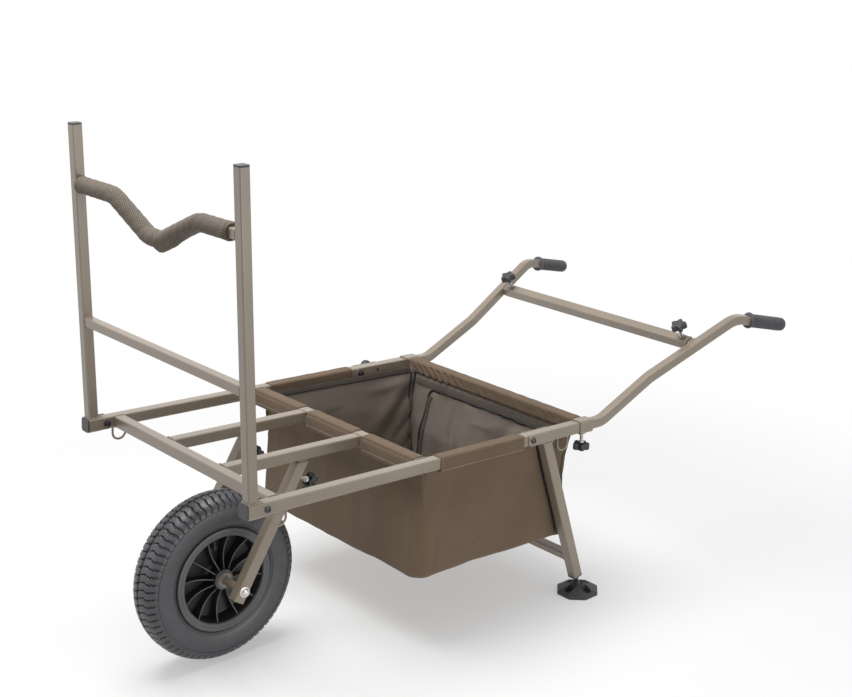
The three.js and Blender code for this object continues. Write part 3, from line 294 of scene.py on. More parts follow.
def mesh_cloth(name, colour, per_metre):
    """The padded sleeve's knitted mesh: small diamonds with dark holes."""
    made = Look(name)
    waves = []
    for operation in ("ADD", "SUBTRACT"):
        slant = made.math("MULTIPLY", made.math(operation, *made.uv()), math.pi * per_metre)
        waves.append(made.math("ABSOLUTE", made.math("SINE", slant)))
    net = made.math("MINIMUM", *waves)
    body = made.ramp(made.noise(made.coords(), 16.0), colour, (0.3, 0.9, 0.7, 1.1))
    return made.done(
        Base_Color=made.times(body, made.ramp(net, WHITE, (0.12, 1.4, 0.5, 0.36))),
        Normal=made.bump(made.math("SUBTRACT", 1.0, net), 0.6, 0.0008),
        Roughness=0.9, Sheen_Weight=0.15, Specular_IOR_Level=0.2,
    )


KNOB_BLACK = plastic("knob_plastic", linear(50, 50, 53), 0.5, 1400.0, 0.3)
# A lighter plastic that paints the highlight on the rim's lips, hub faces and rib crowns.
RIM_PAINTED_HIGHLIGHT = plastic("rim_plastic_painted_highlight", linear(84, 83, 85), 0.4, 500.0, 0.08)
BAG_IN = cloth("bag_lining", linear(122, 112, 102), 0.2, 1200.0, 1.12, 0.5, 0.2)
BINDING = cloth("seam_binding", linear(38, 36, 35), 0.05, 700.0)
TAPE = cloth("seam_tape", linear(88, 81, 73), 0.1)
THREAD = cloth("thread", linear(178, 162, 138), 0.1, 2500.0)
# The look of each of the record's material slots.
LOOKS = {
    "frame_paint": surface(
        "frame_paint", linear(132, 119, 104), (9.0, 3.0), (0.3, 0.94, 0.7, 1.05), (0.12, 0.3),
        (420.0, 2.0, 0.12, 0.0004), ((2600.0, 2.0), (0.35, 0.9, 0.65, 1.08)),
        Metallic=0.1, IOR=1.55, Coat_Weight=0.5, Coat_Roughness=0.18, Coat_IOR=1.5,
    ),
    "black_plastic": plastic("black_plastic", linear(50, 50, 52), 0.42),
    "rim_plastic": plastic("rim_plastic", linear(27, 27, 28), 0.42, 500.0, 0.08),
    "grip_rubber": rubber("grip_rubber", linear(82, 82, 86), 0.62),
    "foot_rubber": rubber("foot_rubber", linear(58, 58, 61), 0.55),
    "inner_rubber": rubber("inner_rubber", linear(40, 40, 42), 0.5),
    "tyre": rubber("tyre_rubber", linear(55, 54, 58), 0.42, 0.7),
    "zinc": bare_metal("zinc", linear(205, 203, 198), 0.28),
    "black_bolt": bare_metal("black_bolt", linear(78, 77, 80), 0.3),
    "bag_cloth": cloth("bag_cloth", linear(107, 90, 73), 0.1),
    "sleeve_cloth": mesh_cloth("sleeve_cloth", linear(112, 102, 90), 165.0),
}

# The CAD nodes that are shown as they are get their look and a small bevel, in metres.
WELD_REACH, BEVEL_WIDTH = 0.00002, 0.0008
node_slots = {entry["node"]: entry["material_slot"] for entry in frame["record"]["subparts"]}
for node_name, node in frame["nodes"].items():
    node.data.materials.clear()
    node.data.materials.append(LOOKS[node_slots[node_name]])
    node.modifiers.new("weld", "WELD").merge_threshold = WELD_REACH
    edge = node.modifiers.new("edge", "BEVEL")
    edge.width = BEVEL_WIDTH
    edge.segments = 2
    edge.limit_method = "ANGLE"
    edge.angle_limit = math.radians(28)
    edge.harden_normals = True

# -------------------- shape makers


def moved(points, place):
    matrix = np.array(place)
    return np.asarray(points, float) @ matrix[:3, :3].T + matrix[:3, 3]


class Shape:
    """Points, faces and UVs gathered from several parts of one piece."""

    def __init__(self):
        self.points, self.faces, self.uvs, self.slots = [], [], [], []

    def add(self, part, place=None, slot=0):
        points, faces, uvs = part
        base = len(self.points)
        self.points.extend((points if place is None else moved(points, place)).tolist())
        self.faces.extend([base + corner for corner in face] for face in faces)
        self.slots.extend([slot] * len(faces))
        self.uvs.extend([(0.0, 0.0)] * len(points) if uvs is None else uvs)
        return self

    def build(self, name, place, slot, body, stands_for, sharp, looks=None):
        """Makes the piece. stands_for names the CAD nodes that it replaces, and sharp is the angle
        over which its edges stay sharp. looks are its materials where they aren't its slot's."""
        points = moved(self.points, place)
        flip = np.linalg.det(np.array(place)[:3, :3]) < 0
        # Corners that fall together, as at a turned piece's poles, would leave empty faces.
        same = np.unique(np.round(points, 8), axis=0, return_inverse=True)[1].ravel().tolist()
        faces, slots = [], []
        for face, slot_index in zip(self.faces, self.slots):
            corners = [c for k, c in enumerate(face) if same[c] != same[face[k - 1]]]
            if len({same[c] for c in corners}) > 2:
                faces.append(corners[::-1] if flip else corners)
                slots.append(slot_index)
        mesh = bpy.data.meshes.new(name)
        mesh.from_pydata(points.tolist(), [], faces)
        layer = mesh.uv_layers.new(name="UVMap")
        corners = np.zeros(len(mesh.loops), np.int32)
        mesh.loops.foreach_get("vertex_index", corners)
        layer.data.foreach_set("uv", np.asarray(self.uvs, np.float32)[corners].ravel())
        for material in looks or [LOOKS[slot]]:
            mesh.materials.append(material)
        if looks and len(looks) > 1:
            mesh.polygons.foreach_set("material_index", np.asarray(slots, np.int32))
        mesh.shade_smooth()
        if sharp:
            mesh.set_sharp_from_angle(angle=math.radians(sharp))
        mesh.validate()
        thing = link(name, mesh)
        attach(thing, body)
        if stands_for:
            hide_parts(*stands_for)
        return thing


def grid(rows, closed_long=False, caps=False, uvs=None):
    """Quads over rows of equally many points. Rows run along, and each row runs round."""
    rows = np.asarray(rows, float)
    count, around = rows.shape[:2]
    faces = []
    for i in range(count if closed_long else count - 1):
        first, second = i * around, (i + 1) % count * around
        faces += [[first + j, first + (j + 1) % around, second + (j + 1) % around, second + j] for j in range(around)]
    if caps:
        faces.append(list(range(around))[::-1])
        faces.append([(count - 1) * around + j for j in range(around)])
    return rows.reshape(-1, 3), faces, uvs


def turned(rings, sides, reach=lambda ring, angle: ring[0], start=0.0):
    """Rows round z from rings of a radius, a height and more; reach gives the radius at an angle."""
    angles = [2 * math.pi * (k + start) / sides for k in range(sides)]
    return [[(reach(ring, a) * math.cos(a), reach(ring, a) * math.sin(a), ring[1]) for a in angles] for ring in rings]


def lathe(profile, sides, closed=False):
    """Revolves [radius, height] pairs round z, outward for a profile that runs up its outside."""
    return grid(turned(profile, sides), closed)


def corner_reach(angle, sides):
    """How much farther out a regular polygon's edge lies at an angle than at its sides' middles."""
    wedge = math.pi / sides
    return 1 / math.cos((angle + wedge) % (2 * wedge) - wedge)


def hex_nut(across, height, bore):
    """A hexagonal nut with chamfered corners and an open bore, rising from zero along z."""
    def reach(ring, angle):
        if ring[0] == bore:
            return bore
        flat = across / 2 * corner_reach(angle, 6)
        return min(flat, across / 2 * 1.02) if ring[0] < 1 else flat
    rings = ((bore, 0.0), (0.93, 0.0), (1.0, 0.07), (1.0, 0.9), (0.93, 1.0), (bore, 1.0))
    return grid(turned([(r, level * height) for r, level in rings], 48, reach), True)


def ring_section(radius, sides):
    return [(x, y) for x, y, _ in turned([(radius, 0)], sides)[0]]


def hoop(radius, height, count=145):
    """A closed round line about z."""
    angles = np.linspace(0, 2 * math.pi, count)
    return [Vector((radius * math.cos(a), radius * math.sin(a), height)) for a in angles]


def square_section(side, corner, steps=4):
    half = side / 2 - corner
    points = []
    for quarter, (sx, sy) in enumerate(((1, -1), (1, 1), (-1, 1), (-1, -1))):
        for step in range(steps + 1):
            angle = math.radians(-90 + 90 * quarter + 90 * step / steps)
            points.append((sx * half + corner * math.cos(angle), sy * half + corner * math.sin(angle)))
    return points


def finer(line, run):
    """The line with stations added, about as far apart as run."""
    made = [line[0]]
    for first, second in zip(line, line[1:]):
        count = max(1, round((second - first).length / run))
        made += [first.lerp(second, k / count) for k in range(1, count + 1)]
    return made


def bent(corners, radii, steps, run):
    """Stations along straight runs joined by round bends."""
    corners = [Vector(corner) for corner in corners]
    stations = [corners[0]]
    for before, corner, after, radius in zip(corners, corners[1:], corners[2:], radii):
        before, after = (before - corner).normalized(), (after - corner).normalized()
        half = before.angle(after) / 2
        centre = corner + (before + after).normalized() * (radius / math.sin(half))
        spoke = corner + before * (radius / math.tan(half)) - centre
        axis = after.cross(before).normalized()
        for step in range(steps + 1):
            angle = (math.pi - 2 * half) * step / steps
            stations.append(centre + Matrix.Rotation(angle, 3, axis) @ spoke)
    return finer(stations + [corners[-1]], run)


def frames_along(stations, side):
    """Frames that don't twist along the stations: point, side, up and forward for each."""
    made = []
    side = Vector(side).normalized()
    for index, point in enumerate(stations):
        ahead = stations[min(index + 1, len(stations) - 1)] - stations[max(index - 1, 0)]
        forward = ahead.normalized()
        side = (side - forward * side.dot(forward)).normalized()
        made.append((point, side.copy(), forward.cross(side).normalized(), forward))
    return made


def lengths_round(outline):
    """How far along the closed outline each of its points lies."""
    steps = [math.dist(a, b) for a, b in zip(outline, outline[1:])]
    return np.cumsum([0.0] + steps).tolist()


def sweep(section, stations, side=(1, 0, 0), caps=True, swell=None):
    """Sweeps a closed section along the stations. swell gives a factor per station and angle."""
    rows, uvs, travelled, last = [], [], 0.0, stations[0]
    lengths = lengths_round(section)
    for point, across, up, _ in frames_along(stations, side):
        travelled += (point - last).length
        last = point
        row = []
        for (a, b), length in zip(section, lengths):
            factor = swell(travelled, math.atan2(b, a)) if swell else 1.0
            row.append(tuple(point + across * (a * factor) + up * (b * factor)))
            uvs.append((travelled * 0.001, length * 0.001))
        rows.append(row)
    return grid(rows, False, caps, uvs)


def weld_bead(line, size=1.7, ripple=0.22, pitch=3.2):
    """A rippled bead along a line of points."""
    def swell(along, _):
        return 1 + ripple * abs(math.sin(math.pi * along / pitch))
    return sweep(ring_section(size, 8), finer(line, 0.8), (0.3, 0.8, 0.52), False, swell)


def smooth_through(points, per_span):
    """A Catmull-Rom line through the points."""
    points = [np.asarray(point, float) for point in points]
    line = []
    for index in range(len(points) - 1):
        before, after = points[max(index - 1, 0)], points[min(index + 2, len(points) - 1)]
        first, second = points[index], points[index + 1]
        for t in (step / per_span for step in range(per_span)):
            line.append(0.5 * (
                2 * first + (second - before) * t
                + (2 * before - 5 * first + 4 * second - after) * t * t
                + (3 * first - before - 3 * second + after) * t ** 3
            ))
    return line + [points[-1]]


# -------------------- wheel


def make_tyre():
    """Two staggered rows of long lugs either side of a zigzag groove, over a smooth side wall."""
    lugs, groove_depth = 68, 5.0
    marks = (0, 0.035, 0.085, 0.2, 0.35, 0.415, 0.465, 0.5, 0.535, 0.585, 0.7, 0.8, 0.915, 0.965)
    inside = [(118.0, 30.0), (150.0, 36.0), (172.0, 20.0)]
    half = [
        (185.0, 0.0), (184.95, 1.6), (184.9, 3.4), (184.8, 5.0), (184.6, 6.8),
        *smooth_through([
            (184.3, 9.0), (183.2, 15.0), (181.2, 22.0), (177.4, 29.8), (171.6, 36.6),
            (163.8, 41.2), (150.0, 43.3), (137.0, 42.6), (126.0, 40.4), (118.6, 37.4), (115.6, 34.6),
        ], 5),
        (113.0, 34.3), (103.0, 34.3), (102.4, 28.0), *inside,
    ]

    def reach(radius, x, at):
        """The tread's radius at a place across it and a share of the turn."""
        if radius <= 158 or (radius, abs(x)) in inside:
            return radius
        zigzag = abs((at * lugs) % 1.0 - 0.5) * 4 - 1
        depth = groove_depth * unit((3.4 - abs(x + 1.0 + 1.3 * zigzag)) / 1.2)
        cell = (at * lugs + (0.5 if x >= 0 else 0.0)) % 1.0
        slit = min(cell, 1.0 - cell)
        width = 0.075 + 0.05 * min(1.0, abs(x) / 32)
        if slit < width:
            depth = max(depth, groove_depth * unit((radius - 159.5) / 6) * min(1.0, (width - slit) / 0.05))
        # The lugs are a little proud of the side wall, and crowned.
        if abs(x) > 8 and radius > 160.5:
            depth -= 0.5 - 0.9 * (0.5 - cell) ** 2
        return radius - depth

    rows = []
    for radius, x in [(r, -x) for r, x in reversed(half)] + half[1:]:
        # The slits wave across the lug, so each row of points is turned with them.
        wave = 0.0
        if radius >= 150 and (radius, abs(x)) not in inside:
            wave = (0.09 * math.sin(abs(x) * 0.3) + 0.05 * math.sin(abs(x) * 0.95)) / lugs * (1 if x >= 0 else -1)
        row = []
        for at in ((lug + mark) / lugs for lug in range(lugs) for mark in marks):
            out, angle = reach(radius, x, at), 2 * math.pi * (at + wave)
            row.append((out * math.cos(angle), out * math.sin(angle), x))
        rows.append(row)
    shape = Shape().add(grid(rows, True))
    # Moulding ridges and the small nubs left by the mould's vents.
    for side in (1, -1):
        for radius, x in ((160.2, 42.9), (121.5, 39.3)):
            shape.add(sweep(ring_section(0.8, 6), hoop(radius, side * x), (0, 0, 1), False))
        for index in range(24):
            a = 2 * math.pi * (index + 0.3) / 24
            radius = 140.0 if index % 2 else 154.0
            place = shift(radius * math.cos(a), radius * math.sin(a), side * 43.0)
            shape.add(lathe([(0.0, 1.2), (0.6, 1.0), (0.8, -1.0)], 8), place @ Matrix.Scale(side, 4, (0, 0, 1)))
    shape.build("tyre_rubber", WHEEL @ TO_X, "tyre", "wheel", ["tyre"], 32)


def make_rim():
    """A moulded rim with twelve ribs; its lips, hub faces and ribs' edges get a lighter plastic, a painted highlight.
    """
    hub, span = 19.6, 79.1
    side = [
        (6.4, 36.0), (7.4, 36.5), (20.4, 36.5), (21.6, 36.1), (22.0, 35.2), (22.2, 6.0), (24.5, 3.4),
        (88.0, 3.0), (91.0, 3.8), (92.2, 6.0), (93.6, 18.0), (96.6, 34.5), (97.6, 38.2), (99.6, 39.8),
        (111.6, 39.9), (113.4, 39.4), (114.3, 38.0), (114.4, 36.4), (113.8, 35.2), (108.0, 35.0),
        (102.8, 34.8), (101.6, 33.6), (100.4, 20.0), (99.0, 6.0),
    ]
    # Across the rib, and how far below its crown; None is the disc that it stands on.
    rib = (
        (-1.5, None), (-1.5, -1.1), (-1.15, -0.35), (-0.5, 0), (0.5, 0), (1.15, -0.35), (1.5, -1.1), (1.5, None),
    )

    def crown(share):
        return 33.5 + 0.5 * share - 12 * math.sin(math.pi * unit(share))

    wheel = Shape().add(lathe(side + [(r, -h) for r, h in reversed(side)], 144, True))
    for index in range(12):
        for flip in (1, -1):
            rows = [
                [(hub + span * share, a, flip * (0.0 if rise is None else crown(share) + rise)) for a, rise in rib]
                for share in (step / 16 for step in range(17))
            ]
            points, faces, _ = grid(rows)
            # The rib's open foot lies in the disc, so the quads that would close it are left out.
            faces = [face[::-flip] for face in faces if abs(face[1] - face[0]) == 1]
            wheel.add((points, faces, None), turn(math.radians(19 + 30 * index), "Z"))
    for flip in (1, -1):
        for radius, height, size in ((28.0, 3.2, 1.0), (106.0, 39.9, 0.7)):
            wheel.add(sweep(ring_section(size, 6), hoop(radius, flip * height), (0, 0, 1), False))
    # The faces that get the lighter plastic, a painted highlight: the lips, the hub faces and the ribs' crowns.
    for index, face in enumerate(wheel.faces):
        x, y, z = np.mean([wheel.points[k] for k in face], axis=0)
        radius, height = math.hypot(x, y), abs(z)
        lip = radius > 96.2 and height > 33.8
        hub_face = radius < 23 and height > 34
        rib_edge = 23 < radius < 97.5 and height > crown((radius - hub) / span) - 0.3
        if lip or hub_face or rib_edge:
            wheel.slots[index] = 1
    wheel.build("rim_moulded", WHEEL @ TO_X, "rim_plastic", "wheel", ["rim"], 34, [LOOKS["rim_plastic"], RIM_PAINTED_HIGHLIGHT])


def make_valve():
    ring = [(142 + x, y) for x, y in ring_section(23.5, 16)]
    stem = [
        (4.4, 126), (4.4, 92), (4.0, 88), (3.4, 84), (3.4, 74.0), (3.2, 73.6), (3.4, 73.0), (4.1, 72.8),
        (4.3, 72.0), (4.3, 63.2), (4.0, 62.0), (3.2, 61.2), (0.0, 61.0),
    ]
    place = turn(math.radians(94), "Z") @ shift(0, 0, 12) @ turn(math.pi / 2, "Y")
    shape = Shape().add(lathe(ring, 72, True)).add(lathe(stem, 24), place)
    shape.build("inner_tube_valve", WHEEL @ TO_X, "inner_rubber", "wheel", ["inner_tube"], 40)


def outward(sign):
    """Lays z along x, outward on the side with that sign."""
    return turn(0 if sign > 0 else math.pi, "Z") @ TO_X


def make_axle_parts():
    spacer = [
        (6.5, 36.8), (15.2, 36.8), (16.0, 37.2), (16.0, 38.2), (15.4, 38.8), (10.4, 39.0), (9.2, 40.4),
        (9.0, 42.0), (9.0, 85.4), (8.6, 87.0), (6.6, 87.0),
    ]
    shape = Shape().add(lathe(spacer, 40, True))
    for angle in (2 * math.pi * index / 3 + 0.6 for index in range(3)):
        dot = lathe([(1.7, 0.0), (1.6, 0.8), (1.0, 1.4), (0.0, 1.6)], 14)
        shape.add(dot, shift(12.7 * math.cos(angle), 12.7 * math.sin(angle), 38.4))
    for name, sign in SIDES:
        shape.build(f"spacer_{name}", FORK @ outward(sign), "frame_paint", "fork", [f"axle_spacer_{name}"], 40)
    head = [
        (0.0, 123.4), (3.8, 123.3), (5.2, 122.6), (5.9, 121.6), (5.9, 114.9), (11.4, 114.8), (12.0, 114.4),
        (12.0, 113.2), (11.7, 112.8), (6.0, 112.8), (6.0, -121.0), (5.4, -122.0), (5.9, -122.6), (5.4, -123.2),
        (5.9, -123.8), (5.4, -124.4), (5.9, -125.0), (5.2, -125.9), (3.6, -126.7), (0.0, -126.8),
    ]
    bolt = Shape().add(lathe(head[::-1], 40)).add(hex_nut(15.5, 5.4, 5.9), shift(0, 0, 114.8))
    bolt.build("axle_bolt", FORK @ TO_X, "zinc", "fork", ["axle"], 36)
    washer = [(6.5, 112.9), (11.6, 112.9), (12.0, 113.2), (12.0, 114.5), (11.6, 114.8), (6.5, 114.8)]
    nut = Shape().add(lathe(washer, 40, True), MIRROR).add(hex_nut(19.0, 7.0, 6.4), MIRROR @ shift(0, 0, 114.8))
    nut.build("axle_locknut", FORK @ TO_X, "zinc", "fork", ["axle_nut"], 30)


make_tyre()
make_rim()
make_valve()
make_axle_parts()

# -------------------- knobs, bolts, pins


def put_knob(name, place):
    """A five-lobed knob in black plastic on a bright threaded stud. z runs out of the tube."""
    lobes, flutes = 5, 60
    # Radius, height, how deep the valleys are, and how far the fluting shows.
    rings = [
        (0.0, 28.4, 0, 0), (4.6, 28.4, 0, 0), (5.0, 24.4, 0, 0), (8.6, 24.0, 0, 0), (9.0, 26.4, 0, 0),
        (9.4, 30.4, 0.0, 0), (11.0, 30.6, 0.3, 0), (12.4, 27.2, 1, 0), (15.6, 25.6, 1, 0), (17.2, 26.4, 1, 0),
        (17.9, 28.2, 1, 1), (18.0, 33.0, 1, 1), (17.8, 38.2, 1, 1), (17.0, 40.8, 1, 0), (15.2, 41.9, 1, 0),
        (9.6, 42.1, 0.8, 0), (8.4, 41.4, 0.2, 0), (6.0, 41.2, 0.0, 0), (0.0, 41.2, 0, 0),
    ]

    def reach(ring, angle):
        radius, _, lobe, flute = ring
        wave = abs(math.cos(lobes * angle / 2)) ** 2.2
        fluting = flute * 0.22 * (1 - wave) * (1 + math.cos(flutes * angle))
        return radius * (1 + 0.09 * lobe) * (1 - 0.36 * lobe * wave) - fluting

    thread = ((3.3, 0.0), (3.95, 0.4), (3.95, 0.6), (3.3, 1.0))
    stud = [(radius, 1.25 * turns - 1.0 + rise) for turns in range(21) for radius, rise in thread]
    # The bright collar that the stud is pressed through.
    collar = [(3.4, 21.6), (5.6, 21.6), (6.2, 22.2), (6.8, 24.6), (3.4, 24.6)]
    knob = Shape().add(grid(turned(rings, 180, reach, 0.5)))
    knob.add(lathe([(0.0, -1.0), *stud, (3.6, 26.0), (0.0, 26.0)], 24), slot=1)
    knob.add(lathe(collar, 32, True), slot=1)
    knob.build(f"{name}_star", place, "black_plastic", name, [name], 35, [KNOB_BLACK, LOOKS["zinc"]])


for side_name, sign in SIDES:
    clamp_knob = DECK @ shift(sign * RAIL_X, COLLAR_PLACE, RAIL_MID - 15) @ turn(math.pi, "X")
    put_knob(f"clamp_knob_{side_name}", clamp_knob)
    fork_knob = FORK @ shift(sign * MIDDLE_X, 12.5, FORK_REACH - 36) @ turn(-math.pi / 2, "X")
    put_knob(f"fork_knob_{side_name}", fork_knob)
for side_name, sign in SIDES:
    put_knob(f"handle_knob_{side_name}", CROSS @ shift(sign * (CROSS_HALF - 21), 0, 12.5))


def make_pivot_bolts():
    """Button-headed bolts along x, each with a hexagonal socket, a washer and a lock nut."""
    # Radius, height, and whether it belongs to the socket.
    head = [
        (3.9, 15.25, 0), (7.0, 15.3, 0), (7.0, 15.9, 0), (6.4, 17.6, 0), (5.2, 19.0, 0), (3.6, 19.8, 0),
        (2.7, 20.0, 0), (2.2, 19.8, 1), (2.15, 17.4, 1), (0.0, 17.3, 1),
    ]
    washer = [(4.1, -15.9), (4.1, -15.3), (7.2, -15.3), (7.4, -15.6), (7.2, -15.9)]
    rows = turned(head, 48, lambda ring, angle: ring[0] * (corner_reach(angle, 6) if ring[2] else 1))
    bolt = Shape().add(grid(rows)).add(lathe([(3.9, -20.0), (3.9, 15.4)], 24)).add(lathe(washer, 40, True))
    bolt.add(hex_nut(12.6, 5.6, 4.0), MIRROR @ shift(0, 0, 15.9))
    bolt.add(lathe([(0.0, -22.0), (3.2, -22.0), (3.9, -21.3), (3.9, -15.9)], 24))
    for end, place_y in (("front", FRONT_PIVOT[1]), ("rear", REAR_PIVOT)):
        for name, sign in SIDES:
            place = DECK @ shift(sign * RAIL_X, place_y, RAIL_MID) @ outward(sign)
            bolt.build(f"{end}_bolt_{name}", place, "black_bolt", "frame", [f"{end}_pivot_bolt_{name}"], 35)


def make_lock_pin():
    profile = [
        (0.0, -12.9), (3.2, -12.9), (3.9, -12.2), (3.9, 24.6), (10.2, 24.6), (11.6, 25.4), (12.7, 28.4),
        (13.0, 31.5), (13.0, 35.0), (12.4, 38.6), (10.6, 41.2), (7.0, 42.2), (0.0, 42.4),
    ]

    def reach(ring, angle):
        return ring[0] - (0.35 * (1 - math.cos(24 * angle)) / 2 if 26 < ring[1] < 39 else 0)

    place = DECK @ shift(-RAIL_X, LOCK_PLACE, RAIL_MID) @ turn(-math.pi / 2, "Y")
    pin = Shape().add(grid(turned(profile, 72, reach)))
    pin.build("lock_pin_knob", place, "black_plastic", "lock_pin", ["lock_pin"], 35, [KNOB_BLACK])


make_pivot_bolts()
make_lock_pin()

# -------------------- loops, handles, grips, feet


def make_loops():
    """The wire loops under the rails, each with a bead of weld round its two legs."""
    span, top, bottom, bend = 31.0, -25.3, -58.5, 15.2
    bead = lathe([(2.4, -29.6), (3.0, -28.8), (3.7, -27.2), (4.6, -25.4)], 20)
    for end, front in (("front", 3.0), ("rear", 769.0)):
        back = front + span
        corners = [(0, front, top), (0, front, bottom), (0, back, bottom), (0, back, top)]
        shape = Shape().add(sweep(ring_section(2.5, 16), bent(corners, [bend, bend], 14, 4.0)))
        shape.add(bead, shift(0, front, 0)).add(bead, shift(0, back, 0))
        for name, sign in SIDES:
            place = DECK @ shift(sign * RAIL_X, 0, 0)
            shape.build(f"loop_{end}_{name}", place, "frame_paint", "frame", [f"tie_loop_{end}_{name}"], 45)


def handle_line(sign):
    corners = [(sign * (RAIL_X + splay), place, RAIL_MID + rise) for splay, place, rise in HANDLE_POINTS]
    return bent(corners, [60, 60, 70], 12, 20.0)


def make_handles():
    on_cross = DECK.inverted() @ CROSS
    inner = CROSS_X - HANDLE_SIDE / 2
    for name, sign in SIDES:
        shape = Shape().add(sweep(square_section(HANDLE_SIDE, 2.6), handle_line(sign)))
        stub = [Vector((sign * (inner + reach), 0, 0)) for reach in (4, -66)]
        shape.add(sweep(square_section(20, 2.2), stub, (0, 1, 0)), on_cross)
        # The weld bead round the stub where it meets the splayed handle.
        bead = [Vector((sign * (inner - 0.4 + SPLAY / RUN * a), a, b)) for a, b in square_section(21, 3, 6)]
        shape.add(weld_bead(bead + bead[:1]), on_cross)
        shape.build(f"handle_tube_{name}", DECK, "frame_paint", "handles", [f"handle_{name}"], 50)


def make_grips():
    profile = [
        (11.3, 4.0), (11.6, 0.4), (17.9, 0.0), (19.2, 0.7), (19.6, 2.0), (19.6, 3.6), (19.0, 4.8), (16.8, 5.6),
        (15.4, 6.6),
    ]
    rib = ((13.7, 0.0), (14.1, 0.5), (15.9, 1.1), (16.5, 2.6), (15.9, 4.1), (14.1, 4.8))
    profile += [(radius, 7.6 + 5.3 * index + rise) for index in range(19) for radius, rise in rib]
    # The smooth end, as radius and distance from it.
    end = ((15.9, 9.5), (16.1, 7.0), (15.9, 4.0), (15.0, 1.6), (13.2, 0.4), (9.0, 0), (0.0, 0))
    profile += [(radius, GRIP_LENGTH - left) for radius, left in end]

    def reach(ring, angle):
        ribbed = 8 < ring[1] < GRIP_LENGTH - 8 and ring[0] > 16.2
        return ring[0] - (0.5 * max(0.0, math.cos(16 * angle)) if ribbed else 0.0)

    shape = Shape().add(grid(turned(profile, 96, reach)))
    for name, sign in SIDES:
        point, side, up, forward = frames_along(handle_line(sign), (1, 0, 0))[-1]
        axes = Matrix((side, up, forward)).transposed().to_4x4()
        place = DECK @ Matrix.Translation(point + forward * (4.3 - GRIP_LENGTH)) @ axes
        shape.build(f"grip_ribbed_{name}", place, "grip_rubber", "handles", [f"grip_{name}"], 40)


def foot_height(x, y):
    """The height of a foot's upper side: an eight-sided skirt, slopes up to the socket, four pockets."""
    edge = math.hypot(x, y) / corner_reach(math.atan2(y, x), 8) / FOOT_HALF
    slope = 8.6 + 13.4 * unit((0.95 - edge) / 0.62) ** 1.05
    along, across = max(abs(x), abs(y)), min(abs(x), abs(y))
    wall = unit((10.5 - 3.5 * max(0.0, (along - 26) / 14) - across) / 1.4)
    floor = 5.0 + max(0.0, along - 27) * 0.35
    inside = unit(along - 14.2) * unit((41.5 - along) / 5)
    return slope - wall * inside * max(0.0, slope - floor)


def make_feet():
    # Each ring's share of the half width, and its height where foot_height doesn't give it.
    rings = [
        (0.0, 0.0), (0.94, 0.0), (0.985, 0.7), (1.0, 2.4), (1.0, 6.4), (0.985, 8.0),
        *((0.965 - 0.655 * step / 33, None) for step in range(34)),
        (0.3, 21.6), (0.292, 22.2), (0.275, 22.6), (0.26, 22.3), (0.25, 21.4), (0.236, 18.0), (0.18, 13.0),
        (0.0, 10.0),
    ]

    def reach(ring, angle):
        eight = min(corner_reach(angle, 8), 1.072)
        return FOOT_HALF * ring[0] * (1 + (eight - 1) * unit((ring[0] - 0.32) / 0.2))

    pad = Shape().add(grid([
        [(x, y, foot_height(x, y) if height is None else height) for x, y, height in row]
        for row in turned(rings, 160, reach, 0.5)
    ]))
    # The leg's end plug with its neck and ball.
    plug = sweep(square_section(24.6, 2.5), [Vector((0, 0, z)) for z in (0.3, 1.6, 2.3)])
    neck = [(8.5, 2.2), (8.2, 3.6), (7.0, 7.5), (5.6, 12.0), (4.6, 15.6), (4.5, 20.0)]
    ball = [(10 * math.sin(a), BALL_DROP - 10 * math.cos(a)) for a in np.linspace(0.48, math.pi, 16)]
    stud = Shape().add(plug).add(lathe(neck + ball, 40))
    for name, sign in SIDES:
        low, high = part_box(f"foot_{name}")
        place = shift((low.x + high.x) / 2, (low.y + high.y) / 2, low.z) @ MM
        pad.build(f"foot_pad_{name}", place, "foot_rubber", f"foot_{name}", [f"foot_{name}"], 42)
        leg_end = LEGS @ shift(sign * RAIL_X, 0, -LEG_LENGTH) @ turn(math.pi, "X")
        stud.build(f"leg_plug_{name}", leg_end, "black_plastic", "rear_legs", [f"ball_stud_{name}"], 40)


make_loops()
make_handles()
make_grips()
make_feet()

# -------------------- padded rest bar sleeve


